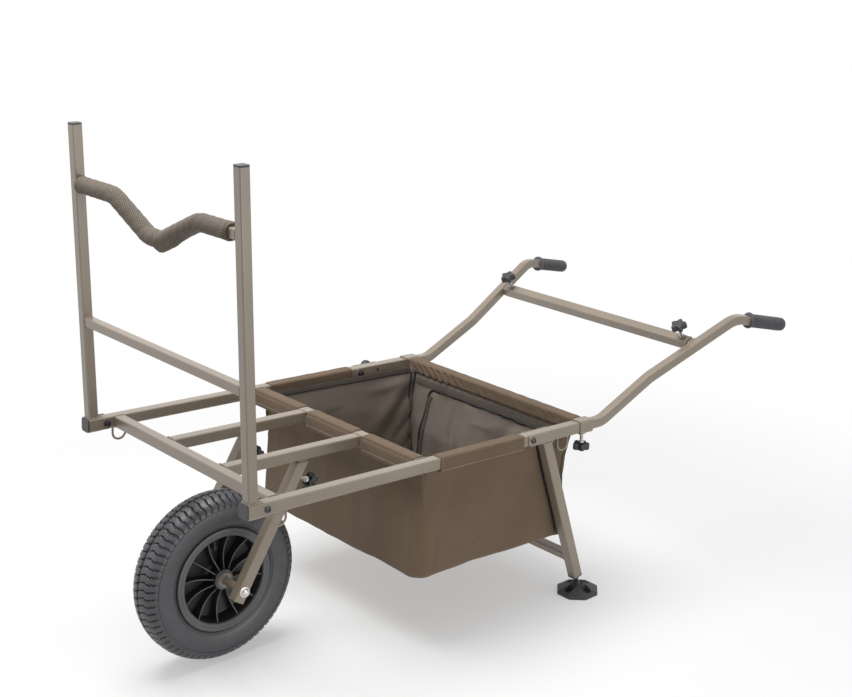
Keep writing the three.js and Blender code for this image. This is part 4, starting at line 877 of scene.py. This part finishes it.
def make_rest_sleeve():
    inner, shoulder, flat = RAIL_X - 11.8, RAIL_X * 0.51, RAIL_X * 0.08
    corners = [
        (-inner, 0, 0), (-shoulder, 0, 0), (-flat, 0, -60.5), (flat, 0, -60.5), (shoulder + 5, 0, -0.5),
        (inner - 22, 0, 0),
    ]
    stations = bent(corners, [78, 52, 52, 84], 14, 4.0)
    total = sum((b - a).length for a, b in zip(stations, stations[1:]))

    def swell(along, angle):
        hem = 0.9 + 0.1 * min(1.0, min(along, total - along) / 5)
        fold = 0.014 * math.sin(along * 0.23 + 2 * math.sin(angle * 2)) + 0.008 * math.sin(along * 0.61 + angle * 3)
        # The loose seam hangs below the sleeve between the dip and the right shoulder.
        share = along / total
        loose = ease(0.52, 0.575, share) * (1 - ease(0.64, 0.74, share))
        apart = math.remainder(angle - math.radians(250), 2 * math.pi)
        return hem * (0.985 + fold) + 0.46 * loose * math.exp(-(apart / 0.42) ** 2)

    place = MASTS @ shift(0, 0, REST_RISE)
    shape = Shape().add(sweep(ring_section(18.25, 48), stations, (0, 1, 0), True, swell))
    sleeve = shape.build("rest_sleeve_padded", place, "sleeve_cloth", "front_bar", ["rest_bar_sleeve"], 60)
    # The seam under the sleeve and the hems at its ends.
    frames = frames_along(stations, (0, 1, 0))
    line = [p + side * 10.5 - up * 14.2 for p, side, up, _ in frames]
    seam = Shape().add(sweep(ring_section(0.9, 6), line, (0, 1, 0)))
    for p, side, up, forward in (frames[2], frames[-3]):
        loop = [p + side * spoke.x + up * spoke.y for spoke in hoop(17.9, 0, 49)]
        seam.add(sweep(ring_section(0.9, 6), loop, forward, False))
    seam.build("rest_sleeve_seam", place, "sleeve_cloth", "front_bar", (), 60, [LOOKS["bag_cloth"]])


make_rest_sleeve()

# -------------------- bag

SAG_SEED = 7
STITCH_PITCH, THREAD_RADIUS = 3.6, 0.55
# How long the cloth hangs, how far it may move, and its thickness, in frames and metres.
SETTLE_FRAMES, SETTLE_MOST, CLOTH_THICK = 26, 0.008, 0.0013
BAG_FRONT, BAG_REAR, BAG_HALF = 391.7, 832.3, 291.7
BAG_TOP, BAG_FLOOR, FLOOR_RADIUS = -18.0, -282.4, 11.0
COLS_X, COLS_Y, ARC_STEPS = 68, 52, 5
ROW_LEVELS = list(np.linspace(BAG_TOP, BAG_FLOOR + FLOOR_RADIUS, 32)) + [
    BAG_FLOOR + FLOOR_RADIUS * (1 - math.sin(math.radians(angle))) for angle in (22, 45, 67, 90)
]
ROWS = len(ROW_LEVELS) - 1
# Each wall's first column, its columns and the coordinate that runs along it.
WALLS = {
    "front": (0, COLS_X, 0), "near": (COLS_X, COLS_Y, 1),
    "rear": (COLS_X + COLS_Y, COLS_X, 0), "far": (2 * COLS_X + COLS_Y, COLS_Y, 1),
}
WALL_OF_COLUMN = [(wall, axis) for wall, (_, count, axis) in WALLS.items() for _ in range(count)]
# Folds in each wall's cloth: one end (along the wall, height), the other end, half width and how
# far the fold stands out, in millimetres. Those that stand in show as ridges inside.
FOLDS = {
    "far": (
        (832, -62, 724, -212, 13, 10), (800, -44, 700, -165, 20, -6), (834, -132, 770, -205, 8, 6),
        (828, -196, 784, -262, 7, 5), (790, -46, 690, -58, 9, -4), (812, -96, 760, -150, 6, -4),
        (740, -205, 700, -262, 9, 5), (610, -50, 560, -170, 26, 3), (500, -60, 470, -200, 22, -3),
    ),
    "rear": (
        (-150, -58, -112, -205, 14, 7), (-192, -66, -166, -225, 20, -6), (-110, -96, -114, -190, 7, 4),
        (-34, -98, 42, -106, 4, -3), (-60, -62, -48, -140, 18, -3), (96, -60, 44, -165, 16, 4),
        (30, -120, 10, -230, 20, 4), (-256, -70, -232, -240, 9, 4), (190, -60, 170, -200, 20, -4),
        (-90, -180, -20, -250, 9, 3),
    ),
    "near": (
        (678, -40, 694, -150, 12, 3.5), (493, -250, 650, -210, 4, 1.8), (440, -196, 432, -268, 5, -3),
        (560, -46, 510, -200, 34, 2.2), (470, -60, 486, -150, 20, -1.6), (620, -120, 600, -230, 26, -2),
    ),
    "front": (
        (160, -50, 128, -230, 30, 4), (60, -60, 84, -240, 26, -4), (-60, -60, -30, -210, 30, 3),
        (-170, -50, -150, -230, 34, -3), (216, -60, 226, -250, 16, -2), (-240, -60, -236, -200, 12, 2),
    ),
}


def seam_place(z):
    """How far back the outer seam of a side wall lies at a height."""
    return 716.0 + (RAIL_UNDER - z) * 0.3735


def bag_ring(z, inset):
    """The bag's outline at a height: straight walls between four rounded corners."""
    front = BAG_FRONT - 9.0 * ease(-60, -250, z) + inset
    far_rear = BAG_REAR + 4 - 10.0 * ease(-25, -95, z) + 5.0 * ease(-110, -262, z) - inset
    near_rear = BAG_REAR + 9 - 21.0 * ease(-25, -95, z) + 18.0 * ease(-120, -266, z) - inset
    half = BAG_HALF - 1.7 * unit((RAIL_UNDER - z) / 70.0) - inset
    corners = (
        (-half, front, -1, -1, 11.0), (half, front, 1, -1, 12 + 32 * ease(-35, -130, z)),
        (half, near_rear, 1, 1, 12.0), (15 - half, far_rear, -1, 1, 12.0),
    )
    arcs = []
    for index, (x, y, sx, sy, radius) in enumerate(corners):
        radius = max(4.0, radius - 0.5 * inset)
        angles = [math.pi / 2 * (index - 2 + k / (2 * ARC_STEPS)) for k in range(2 * ARC_STEPS + 1)]
        arcs.append([(x + radius * (math.cos(a) - sx), y + radius * (math.sin(a) - sy)) for a in angles])
    # From the middle of the far front corner round to where it began.
    points = []
    for count, first, last in zip((COLS_X, COLS_Y) * 2, arcs, arcs[1:] + arcs[:1]):
        straight = count - 2 * ARC_STEPS
        (xa, ya), (xb, yb) = first[-1], last[0]
        middle = [(xa + (xb - xa) * k / straight, ya + (yb - ya) * k / straight) for k in range(1, straight)]
        points += (first[ARC_STEPS:] + middle + last[:ARC_STEPS + 1])[:count]
    return points


def bag_grid():
    """Rows of points down the walls, then the floor's own points, and the faces."""
    rows = []
    for z in ROW_LEVELS:
        up = max(0.0, (BAG_FLOOR + FLOOR_RADIUS - z) / FLOOR_RADIUS)
        inset = FLOOR_RADIUS * (1 - math.sqrt(max(0.0, 1 - up * up)))
        rows.append([(x, y, z) for x, y in bag_ring(z, inset)])
    walls, quads, _ = grid(rows)
    faces = [[a, d, c, b] for a, b, c, d in quads]
    points = walls.tolist()
    # The last row is the floor's border, by the floor's own columns and rows.
    base = ROWS * len(rows[0])
    floor = {}
    for i in range(COLS_X):
        floor[i, 0] = base + i
        floor[COLS_X - i, COLS_Y] = base + COLS_X + COLS_Y + i
    for j in range(COLS_Y):
        floor[COLS_X, j] = base + COLS_X + j
        floor[0, COLS_Y - j] = base + 2 * COLS_X + COLS_Y + j
    edge = {key: walls[index] for key, index in floor.items()}
    for i in range(1, COLS_X):
        for j in range(1, COLS_Y):
            u, v = i / COLS_X, j / COLS_Y
            blend = (
                (1 - v) * edge[i, 0] + v * edge[i, COLS_Y] + (1 - u) * edge[0, j] + u * edge[COLS_X, j]
                - (1 - u) * (1 - v) * edge[0, 0] - u * (1 - v) * edge[COLS_X, 0]
                - (1 - u) * v * edge[0, COLS_Y] - u * v * edge[COLS_X, COLS_Y]
            )
            floor[i, j] = len(points)
            points.append(blend.tolist())
    for i in range(COLS_X):
        for j in range(COLS_Y):
            faces.append([floor[i, j], floor[i, j + 1], floor[i + 1, j + 1], floor[i + 1, j]])
    return np.array(points), faces, len(rows[0])


def fold_depth(wall, along, z):
    """The depth of all listed folds at a place on a wall."""
    total = 0.0
    for a0, z0, a1, z1, width, depth in FOLDS[wall]:
        da, dz = a1 - a0, z1 - z0
        length = math.hypot(da, dz)
        share = ((along - a0) * da + (z - z0) * dz) / length ** 2
        if -0.3 < share < 1.3:
            apart = ((along - a0) * dz - (z - z0) * da) / length
            bow = 6.0 * math.sin(math.pi * share) * (1 if depth > 0 else -1) * min(1.0, width / 12)
            taper = ease(-0.25, 0.12, share) * (1 - ease(0.62, 1.25, share))
            total += depth * taper * math.exp(-((apart - bow) / width) ** 2)
    return total


def wrinkle(point, wall, along):
    """How far the cloth stands out from its plan at a point, in millimetres."""
    x, y, z = point
    broad, small, fine = (
        noise.noise(Vector((x * wide, y * wide, z * tall + seed * SAG_SEED)))
        for wide, tall, seed in ((0.010, 0.006, 1), (0.030, 0.014, 3), (0.075, 0.03, 5))
    )
    down = ease(-22, -75, z)
    depth = down * (2.6 * broad + 1.1 * small)
    side_wall = wall in ("far", "near")
    if side_wall:
        # The corner gusset behind the outer seam lies back from the side panel.
        depth -= 4.5 * ease(0, 26, y - seam_place(z)) * ease(-24, -60, z)
    depth += fold_depth(wall, along, z) * (0.25 + 0.75 * down)
    corner_gap = min(abs(abs(x) - BAG_HALF) + abs(y - BAG_REAR + 14), 60)
    depth += 1.6 * fine * (1 - corner_gap / 60) * down
    return min(depth, 0.4) if side_wall and z > -90 else depth


def settle(world, faces, around):
    """The shell's points after the cloth has hung from its top row for a moment."""
    mesh = bpy.data.meshes.new("bag_shell")
    mesh.from_pydata(world.tolist(), [], faces)
    thing = link("bag_shell", mesh)
    thing.vertex_groups.new(name="pin").add(list(range(around)), 1.0, "REPLACE")
    soft = thing.modifiers.new("cloth", "CLOTH")
    for key, value in {
        "quality": 5, "mass": 0.25, "tension_stiffness": 35, "compression_stiffness": 20, "shear_stiffness": 12,
        "bending_stiffness": 1.2, "air_damping": 4, "vertex_group_mass": "pin", "pin_stiffness": 4,
    }.items():
        setattr(soft.settings, key, value)
    soft.point_cache.frame_end = SETTLE_FRAMES
    for step in range(1, SETTLE_FRAMES + 1):
        bpy.context.scene.frame_set(step)
    evaluated = thing.evaluated_get(bpy.context.evaluated_depsgraph_get())
    drift = np.array([v.co for v in evaluated.data.vertices]) - world
    reach = np.linalg.norm(drift, axis=1, keepdims=True)
    bpy.data.objects.remove(thing)
    bpy.data.meshes.remove(mesh)
    bpy.context.scene.frame_set(1)
    return world + drift * np.minimum(1.0, SETTLE_MOST / np.maximum(reach, 1e-9))


def make_bag():
    """The bag's points as planned and as it hangs, its faces, the count round it, and the ways out."""
    points, faces, around = bag_grid()
    world = moved(points, DECK)
    world = settle(world, faces, around)
    settled = moved(world, DECK.inverted())
    # Outward directions from the grid's own faces.
    normals = np.zeros_like(settled)
    quads = np.array(faces)
    across = np.cross(settled[quads[:, 2]] - settled[quads[:, 0]], settled[quads[:, 3]] - settled[quads[:, 1]])
    for corner in range(4):
        np.add.at(normals, quads[:, corner], across)
    normals /= np.maximum(np.linalg.norm(normals, axis=1, keepdims=True), 1e-9)
    depth = np.zeros(len(settled))
    for index, point in enumerate(points):
        if index < around * (ROWS + 1):
            wall, axis = WALL_OF_COLUMN[index % around]
            depth[index] = wrinkle(point, wall, point[axis])
        else:
            depth[index] = 2.0 * noise.noise(Vector((point[0] * 0.012, point[1] * 0.012, 4.0)))
    settled = settled + normals * depth[:, None]
    front_sag = 3.2 * np.exp(-((settled[:, 1] - BAG_FRONT) / 60.0) ** 2) * (settled[:, 2] < BAG_FLOOR + 40)
    settled[:, 2] = np.maximum(settled[:, 2], BAG_FLOOR - 1.0) - front_sag
    return points, settled, faces, around, normals


def build_bag():
    lengths = lengths_round(bag_plan[:bag_around])
    uvs = [(length * 0.001, -z * 0.001) for z in ROW_LEVELS for length in lengths]
    uvs += [(x * 0.001 + 5, y * 0.001) for x, y, _ in bag_points[(ROWS + 1) * bag_around:]]
    shape = Shape().add((bag_points, bag_faces, uvs))
    bag = shape.build("bag_cloth", DECK, "bag_cloth", "frame", ["bag"], 0, [LOOKS["bag_cloth"], BAG_IN])
    thick = bag.modifiers.new("thick", "SOLIDIFY")
    thick.thickness = CLOTH_THICK
    thick.offset = -1
    thick.material_offset = thick.material_offset_rim = 1
    fine = bag.modifiers.new("fine", "SUBSURF")
    fine.levels = fine.render_levels = 1
    return bag


bag_plan, bag_points, bag_faces, bag_around, bag_normals = make_bag()
bag_object = build_bag()


def sew(shape, name, look, sharp):
    """Builds a separate piece that is sewn to the bag."""
    shape.build(name, DECK, "bag_cloth", "frame", (), sharp, [look])


def wall_point(column, row, lift):
    """A point on the bag's wall at a column and row, lifted outward, and the way out there."""
    k, r = math.floor(column), min(max(math.floor(row), 0), ROWS - 1)
    across, down = column - k, row - r
    first, second = (r * bag_around + (k + i) % bag_around for i in (0, 1))
    upper, lower = (
        bag_points[first + below] * (1 - across) + bag_points[second + below] * across for below in (0, bag_around)
    )
    normal = bag_normals[first]
    return Vector(upper * (1 - down) + lower * down + normal * lift), Vector(normal)


def on_wall(wall, along, z, lift):
    """A point on a wall by its place along the wall and its height."""
    first, count, axis = WALLS[wall]
    row = float(np.interp(-z, [-level for level in ROW_LEVELS], range(ROWS + 1)))
    base = int(row) * bag_around
    places = [bag_plan[base + (first + k) % bag_around][axis] for k in range(count + 1)]
    columns = list(range(first, first + count + 1))
    if places[0] > places[-1]:
        places, columns = places[::-1], columns[::-1]
    return wall_point(float(np.interp(along, places, columns)), row, lift)


def ribbon(name, look, width, thickness, line):
    """A flat ribbon along (point, normal) pairs, as wide as given across the line."""
    rows, uvs, travelled, last = [], [], 0.0, line[0][0]
    for index, (point, normal) in enumerate(line):
        ahead = line[min(index + 1, len(line) - 1)][0] - line[max(index - 1, 0)][0]
        side = normal.cross(ahead.normalized()).normalized()
        travelled += (point - last).length
        last = point
        row = []
        for a, b in ((-0.5, -0.5), (-0.5, 0.35), (-0.3, 0.5), (0.3, 0.5), (0.5, 0.35), (0.5, -0.5)):
            row.append(tuple(point + side * (a * width) - normal * (b * thickness)))
            uvs.append((travelled * 0.001, a * width * 0.001))
        rows.append(row)
    sew(Shape().add(grid(rows, False, True, uvs)), name, look, 50)


def wavy(seed, along, size):
    return size * noise.noise(Vector((along * 0.045, seed * 7.3, 1.7)))


def panel_path(inset, seed, size):
    """The rear wall's zipped panel, from its far lower end over its top to its near lower end."""
    left_top, left_low, right = -203.0 + inset, -243.0 + inset, 236.0 - inset
    top, low, radius = -53.0 - inset, -262.0, 16.0
    slant = (left_top - left_low) / (top - low)
    turns = [(1 - math.sin(a), 1 - math.cos(a)) for a in np.linspace(0, math.pi / 2, 10)[1:-1]]
    path = [(left_low + slant * (z - low), z) for z in np.linspace(low, top - radius, 31)]
    path += [(left_top + radius * c, top - radius * s) for s, c in turns]
    path += [(x, top) for x in np.linspace(left_top + radius, right - radius, 61)]
    path += [(right - radius * s, top - radius * c) for s, c in turns]
    path += [(right, z) for z in np.linspace(top - radius, low, 31)]
    return [(x + wavy(seed, z, size), z + wavy(seed + 1, x, size)) for x, z in path]


def inner_bindings():
    """The bindings and tapes sewn to the corners, the rear panel, the mouth and the side seams."""
    # A tape over two bindings in each corner but the near front one, where they came through.
    corner = (
        ("binding", "_a", BINDING, -3.4, 4.2, 2.0, 0.5, -3.4), ("binding", "_b", BINDING, 3.4, 3.2, 2.0, 0.5, -3.4),
        ("tape", "", TAPE, 0, 9.0, 2.4, 0.4, -4.2),
    )
    rows = np.linspace(1.2, ROWS - 5.0, 60)
    for name, column in (("near_rear", COLS_X + COLS_Y), ("far_rear", 2 * COLS_X + COLS_Y), ("far_front", 0)):
        for kind, tag, look, offset, width, thickness, wave, lift in corner:
            middle = column + offset
            line = [wall_point(middle + wavy(middle, 9 * row, wave), row, lift) for row in rows]
            ribbon(f"corner_{kind}_{name}{tag}", look, width, thickness, line)
    flap_top = [(x, -46.0 + wavy(5.0, x, 1.0)) for x in np.linspace(-258, 214, 80)]
    for kind, look, width, thickness, lift, path in (
        ("zip", KNOB_BLACK, 3.6, 2.6, -2.9, panel_path(2.0, 3.0, 2.2)),
        ("flap_top", TAPE, 15.0, 3.4, -2.3, flap_top),
        ("flap_side", TAPE, 12.0, 2.6, -2.3, panel_path(10.5, 6.0, 1.2)[:34]),
        ("edge", BINDING, 2.4, 1.6, -2.1, panel_path(5.0, 8.0, 3.0)),
    ):
        ribbon(f"panel_{kind}", look, width, thickness, [on_wall("rear", x, z, lift) for x, z in path])
    # A hem runs round the mouth inside, with its dark seam above, which also paints the shadow line just under the
    # sleeves.
    seam, tape = ("seam", BINDING, -29.0, 2.4), ("tape", TAPE, -35.0, 8.5)
    for wall, low, high, strips in (
        # On the far wall the tape sits higher and wider: a dark strip that paints the shade under the rail's sleeve.
        ("far", 404, 822, (seam, ("tape", TAPE, -22.0, 12.0))), ("near", 404, 822, (seam, tape)),
        ("rear", -270, 278, (seam,)), ("front", -278, 278, (seam, tape)),
    ):
        for kind, look, height, width in strips:
            line = [
                on_wall(wall, along, height + wavy(height + len(wall), along, 1.0), -2.2)
                for along in np.linspace(low, high, 90)
            ]
            ribbon(f"mouth_{kind}_{wall}", look, width, 1.4, line)
    # The piped seam outside, from under the rail down to the rear corner of the floor: dark piping that also paints
    # the shadow in the step at the seam.
    for wall in ("near", "far"):
        line = [on_wall(wall, seam_place(z) + wavy(4.0, z, 2.0), z, 1.0) for z in np.linspace(-26, -264, 70)]
        ribbon(f"side_piping_{wall}", BINDING, 3.4, 3.0, line)


def bar_sleeve(name, start, end, centre, axis, seed, folds=0.0, drop=0.0):
    """A cloth sleeve round a square bar.

    axis is x or y, centre the bar's other two coordinates, folds the depth of the slanting
    folds on the face towards the bag, and drop how far that front face hangs below the bar."""
    count = max(8, int((end - start) / 2.6))
    corners = square_section(TUBE + 2 * 2.3, 5.5, 8)
    outline = []
    for first, second in zip(corners, corners[1:] + corners[:1]):
        steps = 8 if math.dist(first, second) > 10 else 1
        outline += [tuple(p + (q - p) * k / steps for p, q in zip(first, second)) for k in range(steps)]
    lengths = lengths_round(outline)
    phase = random.Random(seed).uniform(0, 50)
    rows, uvs = [], []
    for along in np.linspace(start, end, count + 1).tolist():
        hem = 1.0 - 0.035 * max(0.0, 1 - min(along - start, end - along) / 4)
        row = []
        for (a, b), length in zip(outline, lengths):
            swell = 0.55 * noise.noise(Vector((along * 0.045, a * 0.09, b * 0.09 + phase)))
            if folds and a < 0:
                where = noise.noise(Vector((along * 0.018, phase, 1.0)))
                strong = folds * (0.25 + 0.75 * ease(-60, -190, along)) * ease(14, 6, b) * (0.75 + where)
                turns = (along + 1.1 * b + 8 * noise.noise(Vector((along * 0.03, b * 0.03, phase)))) / 26
                swell += strong * (1 - 2 * abs(math.sin(math.pi * turns)) ** 1.4)
            factor = hem * (1 + swell / 15.5)
            across, high = centre[0] + a * factor, centre[1] + b * factor - drop * ease(-5, -14.8, b)
            row.append((along, across, high) if axis == "x" else (across, along, high))
            uvs.append((along * 0.001, length * 0.001))
        rows.append(row)
    points, faces, _ = grid(rows, False, True)
    if axis == "y":
        faces = [face[::-1] for face in faces]
    sew(Shape().add((points, faces, uvs)), name, LOOKS["bag_cloth"], 55)


def stitches(name, start, end):
    """A row of short thread stitches from one deck point to another."""
    start, end = Vector(start), Vector(end)
    length = (end - start).length
    upward = (1, 0, 0) if abs(end.z - start.z) > 0.9 * length else (0, 0, 1)
    count = max(2, int(length / STITCH_PITCH))
    shape = Shape()
    for index in range(count):
        first, second = (start.lerp(end, (index + share) / count) for share in (0.15, 0.8))
        shape.add(sweep(ring_section(THREAD_RADIUS, 5), [first, first.lerp(second, 0.5), second], upward))
    sew(shape, name, THREAD, 60)


def rim_flap(index, start, end):
    """The wall's top edge, which comes up in front of the rim bar's sleeve and is sewn to it."""
    face = RIM_BAR - 3.4
    rows = []
    for x in np.linspace(start, end, max(6, int((end - start) / 5)) + 1).tolist():
        out = face - 1.0 + 0.8 * max(0.0, 1 - min(x - start, end - x) / 5)
        ripple = 0.7 * noise.noise(Vector((x * 0.03, 2.0, index)))
        low = -35.5 + 1.2 * noise.noise(Vector((x * 0.02, 5.0, index)))
        rows.append([(x, y, z) for y, z in (
            (face + 4, -2.5), (face + 0.4, -4.5), (out + 0.3 * ripple, -12.0), (out + ripple, -22.0),
            (out + 1.4 * ripple, low), (face + 4.0, low - 1.0), (BAG_FRONT - 4, -38.5), (BAG_FRONT + 1.5, -44.0),
            (BAG_FRONT + 2.5, -34.0), (BAG_FRONT - 6, -27.5), (face + 6, -26.8),
        )])
    points, faces, _ = grid(rows, False, True)
    uvs = [(x * 0.001, z * 0.001) for x, _, z in points]
    flap = Shape().add((points, [corners[::-1] for corners in faces], uvs))
    sew(flap, f"rim_flap_{index}", LOOKS["bag_cloth"], 60)
    front = face - 1.3
    stitches(f"rim_stitch_{index}_low", (start + 3, front, -28.0), (end - 3, front, -28.0))
    for tag, x in (("a", start + 4), ("b", end - 4)):
        stitches(f"rim_stitch_{index}_{tag}", (x, front, -7.0), (x, front, -33.0))


def make_bar_sleeves():
    bar_middle, inner, gap = TUBE / 2, 289.0, 18.0
    spans = [(-inner, -MIDDLE_X - gap), (-MIDDLE_X + gap, MIDDLE_X - gap), (MIDDLE_X + gap, inner)]
    for index, (start, end) in enumerate(spans):
        bar_sleeve(f"rim_sleeve_{index}", start, end, (RIM_BAR + bar_middle, RAIL_MID), "x", 11 + index)
        rim_flap(index, start, end)
    for name, sign in SIDES:
        bar_sleeve(f"side_sleeve_{name}", 414.0, 653.0, (sign * RAIL_X, RAIL_MID), "y", 21 + sign, 0.0, 4.2)
        face = sign * (RAIL_X + 15.1)
        stitches(f"side_stitch_{name}_low", (face, 418, -27.0), (face, 649, -27.0))
        for tag, y in (("front", 417.5), ("rear", 649.5)):
            stitches(f"side_stitch_{name}_{tag}", (face, y, -3), (face, y, -26))
    bar_sleeve("rear_sleeve", -288.0, 288.0, (REAR_BAR + bar_middle, RAIL_MID), "x", 31, 2.6, 2.0)


inner_bindings()
make_bar_sleeves()

# -------------------- welds


def tube_welds():
    """Beads round the square tubes' ends where they meet another tube, on either side."""
    across, back, up = Vector((1, 0, 0)), Vector((0, 1, 0)), Vector((0, 0, 1))
    wide, narrow = (25.4, 2.4, 1.4), (20.4, 2.4, 1.3)
    # Each bead has the section's side and corner and its own size, the place of its middle, and
    # the section's two ways.
    for name, place, body, beads in (
        ("frame_welds", DECK, "frame", (
            *((wide, (MIDDLE_X, y, RAIL_MID), across, up) for y in (25.6, 365.4)),
            *((wide, (x, y, RAIL_MID), back, up) for x, y in ((294.0, 12.5), (294.0, 378.5), (291.6, 845.5))),
        )),
        ("front_bar_welds", MASTS, "front_bar", (
            ((23.6, 2.6, 1.4), (RAIL_X, 0, 0.8), across, back), (narrow, (294.9, 0, 219), back, up),
            (narrow, (294.9, 0, REST_RISE), back, up),
        )),
        ("leg_welds", LEGS, "rear_legs", (
            (narrow, (294.0, 0, -324), back, up),
            ((25.4, 2.6, 1.4), (RAIL_X, 0, -3.2), across, back - up * math.tan(LEG_TILT)),
        )),
    ):
        shape = Shape()
        for sign in (-1, 1):
            for (side, corner, size), (x, y, z), first, second in beads:
                middle = Vector((sign * x, y, z))
                loop = [middle + first * a + second * b for a, b in square_section(side, corner, 3)]
                shape.add(weld_bead(loop + loop[:1], size))
        shape.build(name, place, "frame_paint", body, (), 60)


tube_welds()

# -------------------- floor and light

FLOOR_REACH = 6.0
WORLD_LEVEL = 0.42


def stage():
    """A pale floor that keeps the soft shadow and fades, with distance, into the white around it."""
    corners = [(x * FLOOR_REACH, y * FLOOR_REACH, 0) for x, y in ((-1, -1), (1, -1), (1, 1), (-1, 1))]
    floor_mesh = bpy.data.meshes.new("floor")
    floor_mesh.from_pydata(corners, [], [[0, 1, 2, 3]])
    floor = link("floor", floor_mesh)
    made = Look("floor_white")
    pale = made.ramp(made.noise(made.coords(), 1.5, 2.0), WHITE, (0.0, 0.86, 1.0, 0.875))
    floor_mesh.materials.append(made.done(Base_Color=pale, Roughness=0.9, Specular_IOR_Level=0.1))
    glow = made.add("Emission", {"Strength": 1.0})
    lifted = made.add("MixShader", {0: 0.36, 1: made.shader.outputs["BSDF"], 2: glow})
    away = made.add("VectorMath", {0: made.add("TexCoord", output="Object")}, "Value", operation="LENGTH")
    limits = {"Value": away, "From Min": 0.6, "From Max": 1.7}
    fade = made.add("MapRange", limits, "Result", interpolation_type="SMOOTHSTEP")
    both = made.add("MixShader", {0: fade, 1: lifted, 2: made.add("BsdfTransparent")})
    made.feed(made.tree.nodes["Material Output"].inputs["Surface"], both)

    world = bpy.data.worlds.new("studio")
    bpy.context.scene.world = world
    sky = Nodes(world)
    background = sky.tree.nodes["Background"]
    sky.feed(background.inputs["Color"], (1, 1, 1, 1))
    sky.feed(background.inputs["Strength"], WORLD_LEVEL)
    white = sky.add("Background", {"Color": (1, 1, 1, 1), "Strength": 1.0})
    rays = sky.add("LightPath", output=None).outputs
    seen = rays["Is Camera Ray"]
    for kind in ("Is Glossy Ray", "Is Transmission Ray"):
        seen = sky.math("MAXIMUM", seen, rays[kind])
    mix = sky.add("MixShader", {0: seen, 1: background.outputs[0], 2: white})
    sky.feed(sky.tree.nodes["World Output"].inputs["Surface"], mix)


def lamp(name, place, target, size, power):
    data = bpy.data.lights.new(name, "AREA")
    data.shape = "RECTANGLE"
    data.size, data.size_y = size
    data.energy = power
    thing = link(name, data)
    thing.location = place
    thing.rotation_euler = (Vector(target) - Vector(place)).to_track_quat("-Z", "Y").to_euler()


stage()
lamp("overhead", (-0.25, -0.5, 2.5), (0, -0.1, 0.3), (1.5, 1.8), 60)
lamp("side", (2.9, 0.0, 0.45), (0, 0.1, 0.2), (1.6, 0.6), 20)
lamp("front", (-1.2, -3.4, 1.2), (0, -0.2, 0.2), (1.8, 1.0), 12)

bpy.context.scene.view_settings.view_transform = "Standard"
